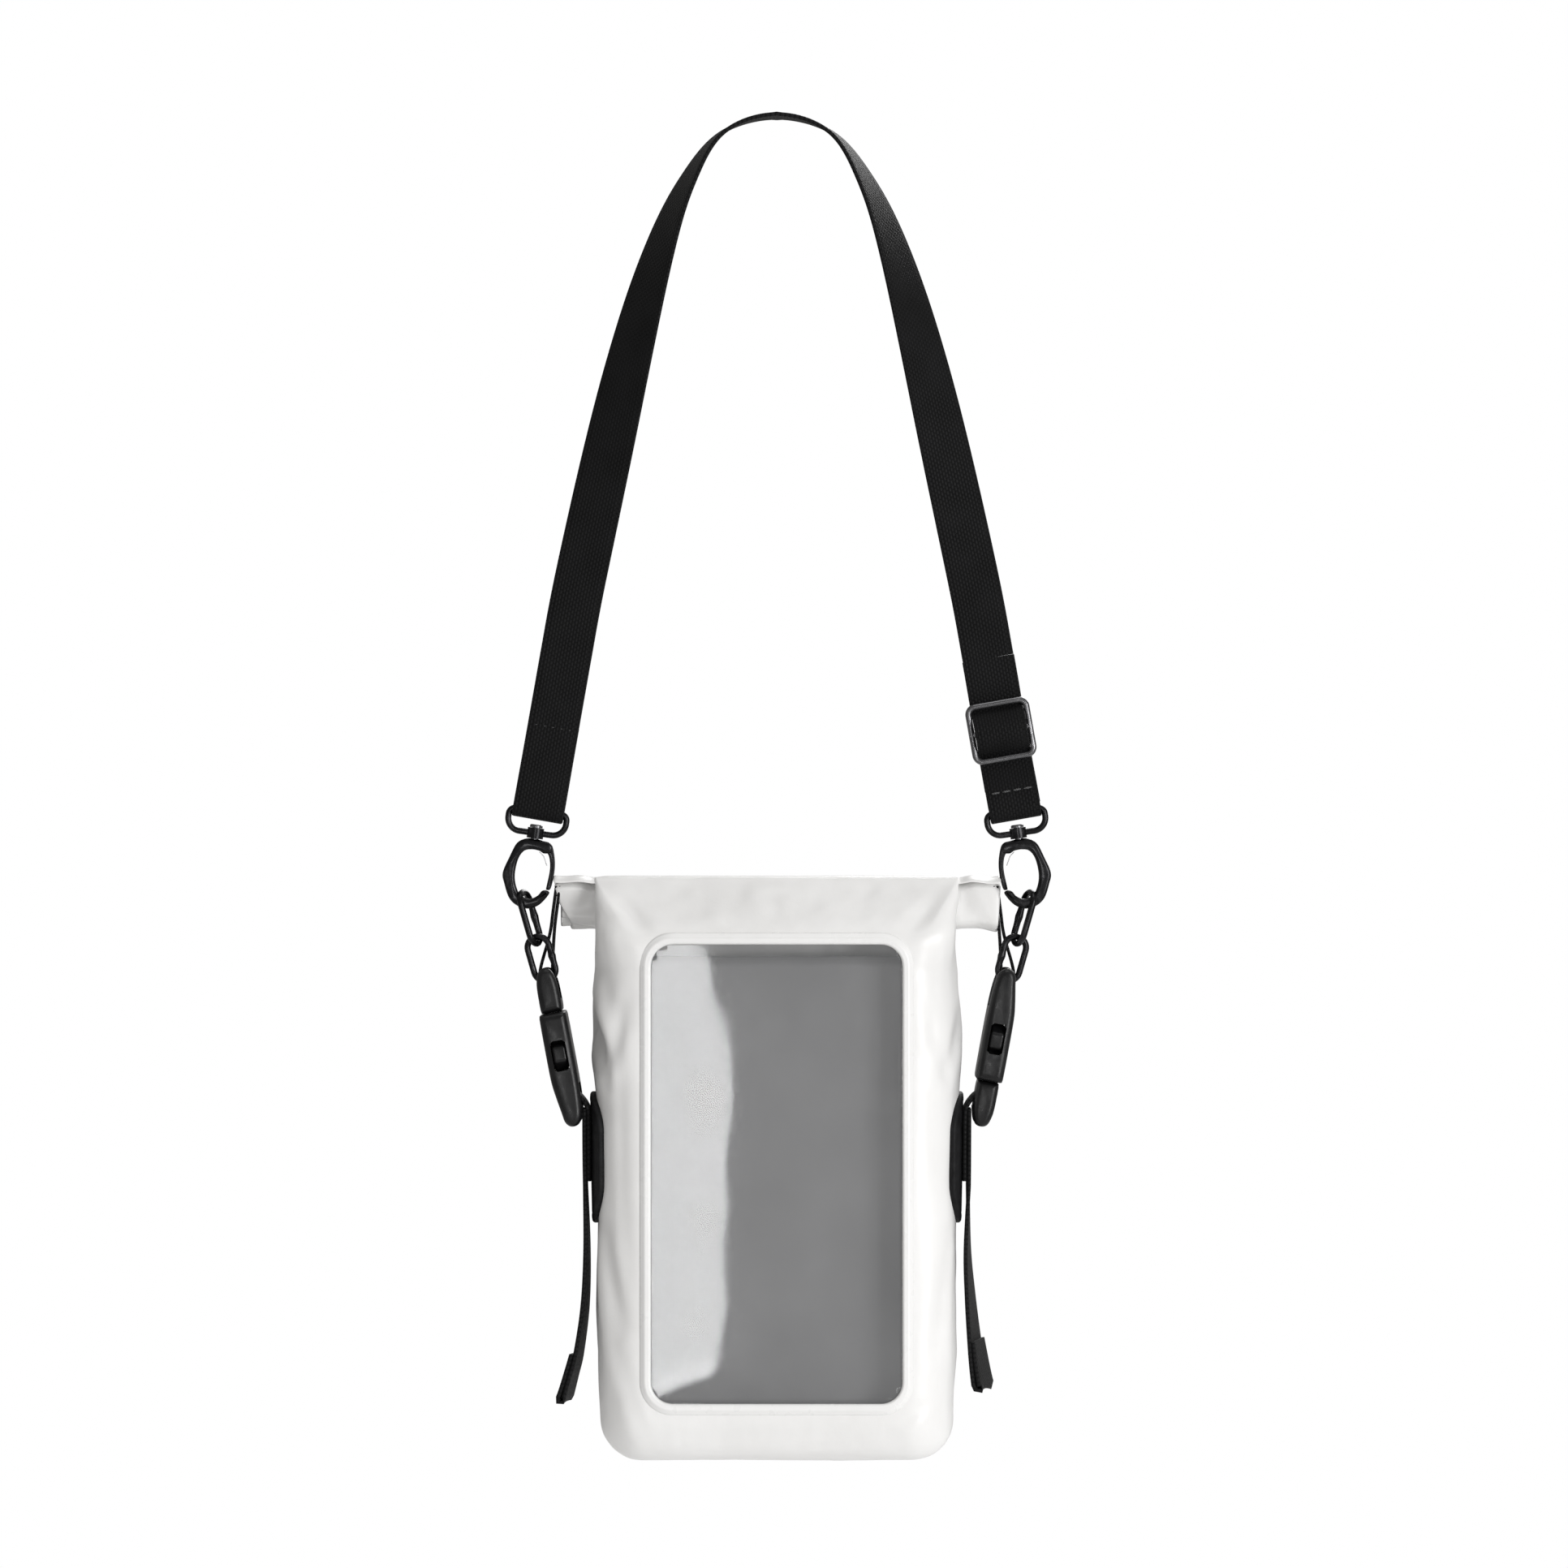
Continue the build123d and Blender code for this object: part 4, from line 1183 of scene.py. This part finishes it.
def build_link(name, holder, turn, length, thick, replaced):
    """An oval link with a weld bead, hanging from its holder's origin and turned about the chain."""
    ring = 12
    radius = (link_width - thick) / 2
    straight = length - link_width
    steps = 16
    straight_steps = 10
    bend = [(radius * cos(pi * i / steps), radius * sin(pi * i / steps)) for i in range(steps + 1)]
    drops = [straight * i / straight_steps for i in range(1, straight_steps)]
    centre = bend + [(-radius, -drop) for drop in drops]
    centre += [(-x, -straight - up) for x, up in bend]
    centre += [(radius, drop - straight) for drop in drops]
    count = len(centre)
    weld_at = count - straight_steps // 2
    side_way = holder.inward * sin(turn) + across_y * cos(turn)
    through = side_way.cross(holder.up)
    points = []
    for i, (x, up) in enumerate(centre):
        bx, by = centre[i - 1]
        ax, ay = centre[(i + 1) % count]
        run = Vector((ax - bx, ay - by)).normalized()
        bead = 0.3 * exp(-((i - weld_at) / 1.4) ** 2)
        for k in range(ring):
            a = 2 * pi * k / ring
            out = (thick / 2 + bead) * cos(a)
            deep = (thick / 2 * 1.05 + bead) * sin(a)
            in_plane = side_way * (x + run.y * out) + holder.up * (up - run.x * out)
            points.append(holder.origin + in_plane + through * deep)
    make_piece(name, points, hoop_faces(count, ring), black_metal, "bag", replaced)


def build_chain(side, sign):
    """Two links between the hook and the buckle; the first is seen nearly edge-on."""
    first = Leaning(hardware_frame(sign).at(0, -hook_drop), sign, chain_lean)
    second = Leaning(first.at(0, -second_drop), sign, chain_lean)
    first_turn = radians(link_turn)
    second_turn = radians(90 + link_turn / 3)
    build_link(f"{side}_upper_link", first, first_turn, first_length, first_thick, [f"{side}_link_1"])
    build_link(f"{side}_lower_link", second, second_turn, second_length, second_thick, [f"{side}_link_2"])


# ---- buckles ----
class BuckleHalf:
    """One half of a buckle, measured from the joint between the halves towards its own end bar."""

    def __init__(self, holder, joint, way):
        self.holder = holder
        self.joint = joint
        self.way = way

    def at(self, y, up, inward=0.0):
        return self.holder.at(y, self.joint + self.way * up, inward)


def prism(half, outline_points, y_half):
    """A throwaway solid cut to an outline, used to carve a piece or to add to it."""
    points = [half.at(y, up, x) * mm for y in (-y_half, y_half) for x, up in outline_points]
    mesh = bpy.data.meshes.new("tool")
    mesh.from_pydata(points, [], tube_faces(2, len(outline_points)))
    rework(mesh, face_outwards)
    return add_object("tool", mesh)


def carve(piece, tools):
    """Applies the tools to the piece, each as (solid, operation), and throws them away."""
    for tool, operation in tools:
        step = piece.modifiers.new("carve", "BOOLEAN")
        step.object = tool
        step.operation = operation
        step.solver = "EXACT"
    bpy.context.view_layer.update()
    evaluated = piece.evaluated_get(bpy.context.evaluated_depsgraph_get())
    carved = bpy.data.meshes.new_from_object(evaluated)
    piece.modifiers.clear()
    piece.data = carved
    for tool, _ in tools:
        bpy.data.objects.remove(tool)
    shade_smooth(carved, 34)


def box_outline(in_half, low, high, corner=0.0):
    """A rectangle's corners, or with a corner size the corners of a rectangle with cut corners."""
    if not corner:
        return [(-in_half, low), (in_half, low), (in_half, high), (-in_half, high)]
    cut = in_half - corner
    right = [(cut, low), (in_half, low + corner), (in_half, high - corner), (cut, high)]
    return [(-cut, low)] + right + [(-x, up) for x, up in reversed(right[1:])]


def round_outline(up, radius, inward=0.0, steps=20):
    turns = [2 * pi * i / steps for i in range(steps)]
    return [(inward + radius * cos(turn), up + radius * sin(turn)) for turn in turns]


def female_outline(end):
    """From the mouth past the side windows to the end bar, where the outer side tapers."""
    return [(-4.4, 0.1), (0, 0), (4.4, 0.1), (5.1, 0.9), (5.25, 3.0), (5.3, 12.0), (5.3, 24.0), (5.1, 33.0),
            (4.5, end - 3.0), (3.6, end), (1.7, end + 1.8), (-0.9, end + 1.8), (-2.7, end - 0.2),
            (-3.4, end - 4.0), (-4.6, 31.0), (-5.2, 25.0), (-5.3, 12.0), (-5.25, 3.0), (-5.1, 0.9)]


def male_outline(end):
    """A short block with a domed end over the bar."""
    half = [(3.6, 0.1), (4.1, 0.8), (4.25, 3.0), (4.2, end - 6.0), (3.7, end - 2.0), (2.4, end + 1.2)]
    return [(-3.6, 0.1), (0, 0)] + half + [(0, end + 2.1)] + [(-x, up) for x, up in reversed(half[1:])]


def bar_between(half, width, up, inward=0.0):
    """A round bar across a buckle half, from one side wall to the other."""
    return prism(half, round_outline(up, end_bar_radius, inward), width / 2 - bar_end_margin), "UNION"


def build_block(name, corners, width, bevel, half, replaced, tools):
    """A moulded block with rounded edges, carved with the tools."""
    edge = smooth_loop(corners, 4)
    ways = scaling_ways(edge)
    carve(bevelled_plate(name, edge, ways, width, bevel, half, black_plastic, "bag", replaced), tools)


def build_socket(side, female, end, ladder):
    """The female half: a cavity for the prongs, windows to squeeze them, and a slot at its end bar."""
    cavity = prism(female, box_outline(3.2, -2.0, 25.0), cavity_width / 2)
    windows = prism(female, box_outline(3.0, 10.6, 22.6, 1.1), female_width)
    slot = prism(female, box_outline(9.0, 28.4, end + 9.0), slot_width / 2)
    tools = [(tool, "DIFFERENCE") for tool in (cavity, windows, slot)]
    tools.append(bar_between(female, female_width, end))
    tools += [bar_between(female, female_width, up, ladder_inset) for up in ladder]
    build_block(f"{side}_buckle_socket", female_outline(end), female_width, 2.4, female,
                [f"{side}_buckle_female"], tools)


def build_plug(side, male, end, ladder):
    """The male half: a slot at its end bar, and the tongue that goes into the socket."""
    slot = prism(male, box_outline(9.0, 4.6, end + 9.0), slot_width / 2)
    tongue = prism(male, box_outline(1.6, -17.0, 1.0), 2.2)
    tools = [(slot, "DIFFERENCE"), bar_between(male, male_width, end), (tongue, "UNION")]
    tools += [bar_between(male, male_width, up, ladder_inset) for up in ladder]
    build_block(f"{side}_buckle_plug", male_outline(end), male_width, 2.2, male,
                [f"{side}_buckle_male"], tools)


def build_buckle(side, sign):
    """Both halves of a side-release buckle; the male half is on top on the left side."""
    holder = buckle_frame(sign)
    if side == "left":
        socket_joint = male_length + halves_gap
        build_socket(side, BuckleHalf(holder, -socket_joint, -1), female_length, [34.8])
        build_plug(side, BuckleHalf(holder, -male_length, 1), male_length, [])
    else:
        socket_joint = female_length - halves_gap
        build_socket(side, BuckleHalf(holder, -socket_joint, 1), socket_joint, [])
        build_plug(side, BuckleHalf(holder, -female_length, -1), male_length + halves_gap, [8.0])
    for place in ("front", "back"):
        prong = soften_node(f"{side}_{place}_prong", 1.15, black_plastic)
        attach(prong, f"{side}_{place}_latch")


def soften_node(name, width, look):
    """A copy of a CAD node with its edges rounded, in place of the node."""
    material, slot = look
    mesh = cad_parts[name].data.copy()
    mesh.materials.clear()
    mesh.materials.append(material)

    def merge_flats(work):
        bmesh.ops.remove_doubles(work, verts=work.verts, dist=0.002 * mm)
        bmesh.ops.dissolve_limit(work, angle_limit=radians(1.0), verts=work.verts, edges=work.edges)

    rework(mesh, merge_flats)
    shade_smooth(mesh)
    piece = add_object(f"{name}_rounded", mesh)
    bevel = piece.modifiers.new("edges", "BEVEL")
    bevel.width = width * mm
    bevel.segments = 4
    bevel.limit_method = "ANGLE"
    bevel.angle_limit = radians(30)
    bevel.harden_normals = True
    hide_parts(name)
    return piece


def build_gate_spring(side, sign):
    """A copy of the gate's leaf spring with its edges rounded a little, in place of the node."""
    holder = hardware_frame(sign)
    spring = soften_node(f"{side}_gate_spring", 0.05, spring_steel)
    fixed = holder.at(0, -15.6, 2.6)
    tip = holder.at(0, -19.5, 5.6)
    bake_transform(spring)


# ---- CAD nodes that stay as they are ----
def dress_nodes():
    """Gives the carried-over metal and plastic parts their finishes."""
    finishes = {"adjuster": gunmetal, "swivel_post": gunmetal, "gate_pin": gunmetal,
                "d_loop": black_metal[0], "stiffeners": stiffener_white}
    for name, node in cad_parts.items():
        for key, finish in finishes.items():
            if key in name:
                node.data.materials.clear()
                node.data.materials.append(finish)


build_main_strap()
build_right_weave()
build_strap_stitches()
build_shell()
build_window()
build_rim()
build_pocket()
build_roll()
for side, sign in sides.items():
    build_patch(side, sign)
    build_side_webbing(side, sign)
    build_tail(side, sign)
    build_tab(side, sign)
    build_hook(side, sign)
    build_chain(side, sign)
    build_buckle(side, sign)
    build_gate_spring(side, sign)
dress_nodes()


# ---- studio ----
floor_height = -0.66
view_distance = 3.0
view_width = 0.6057
view_center = Vector((0.0028, 0.0, -0.2599))


def add_floor():
    """A plain pale disc well below the hanging bag."""
    bpy.ops.mesh.primitive_circle_add(vertices=128, radius=0.7, fill_type="NGON",
                                      location=(0, 0, floor_height))
    floor = bpy.context.object
    floor.name = "floor"
    finish = Finish("floor", Roughness=0.8)
    finish.color(finish.mix(finish.noise(60.0), (0.90, 0.90, 0.90), (0.87, 0.87, 0.87)))
    floor.data.materials.append(finish.material)


def add_light(name, place, target, width, height, power):
    data = bpy.data.lights.new(name, "AREA")
    data.shape = "RECTANGLE"
    data.size = width
    data.size_y = height
    data.energy = power
    light = add_object(name, data)
    light.location = place
    light.rotation_euler = (Vector(target) - Vector(place)).to_track_quat("-Z", "Y").to_euler()


def add_window_light(name, height, size, power):
    """A card that the window's film reflects to the camera as a bright band."""
    x = -0.265
    add_light(name, (x, -3.25, height), (x, 0, height), 0.38, size, power)


def add_world():
    """Soft white light from all round, and pure white where the camera sees past the bag."""
    world = bpy.data.worlds.new("studio")
    bpy.context.scene.world = world
    world.use_nodes = True
    tree = world.node_tree
    seen = tree.nodes.new("ShaderNodeBackground")
    seen.inputs["Color"].default_value = (1, 1, 1, 1)
    seen.inputs["Strength"].default_value = 1.0
    fill = tree.nodes["Background"]
    fill.inputs["Color"].default_value = (1.0, 0.985, 0.965, 1)
    fill.inputs["Strength"].default_value = 0.34
    path = tree.nodes.new("ShaderNodeLightPath")
    mix = tree.nodes.new("ShaderNodeMixShader")
    tree.links.new(path.outputs["Is Camera Ray"], mix.inputs[0])
    tree.links.new(fill.outputs[0], mix.inputs[1])
    tree.links.new(seen.outputs[0], mix.inputs[2])
    tree.links.new(mix.outputs[0], tree.nodes["World Output"].inputs["Surface"])


def add_camera():
    """Straight on from the front with a long lens."""
    data = bpy.data.cameras.new("camera")
    data.sensor_width = 36.0
    data.lens = data.sensor_width * view_distance / view_width
    data.clip_end = 50.0
    camera = add_object("camera", data)
    camera.location = view_center - across_y * (view_distance + 0.012)
    camera.rotation_euler = (pi / 2, 0, 0)
    bpy.context.scene.camera = camera


bag_middle = (0, 0, -0.40)
add_floor()
add_world()
add_light("key", (1.35, -1.7, -0.15), bag_middle, 0.8, 1.1, 27.5)
add_light("top", (0.1, -0.35, 1.1), bag_middle, 0.8, 0.8, 4.0)
add_light("back", (0.55, 1.3, 0.7), (0, 0.1, -0.45), 1.1, 1.1, 20.0)
add_window_light("window_card", -0.5085, 0.467, 8.3)
add_window_light("window_band", -0.7535, 0.023, 0.55)
add_camera()
bpy.context.scene.view_settings.view_transform = "Standard"
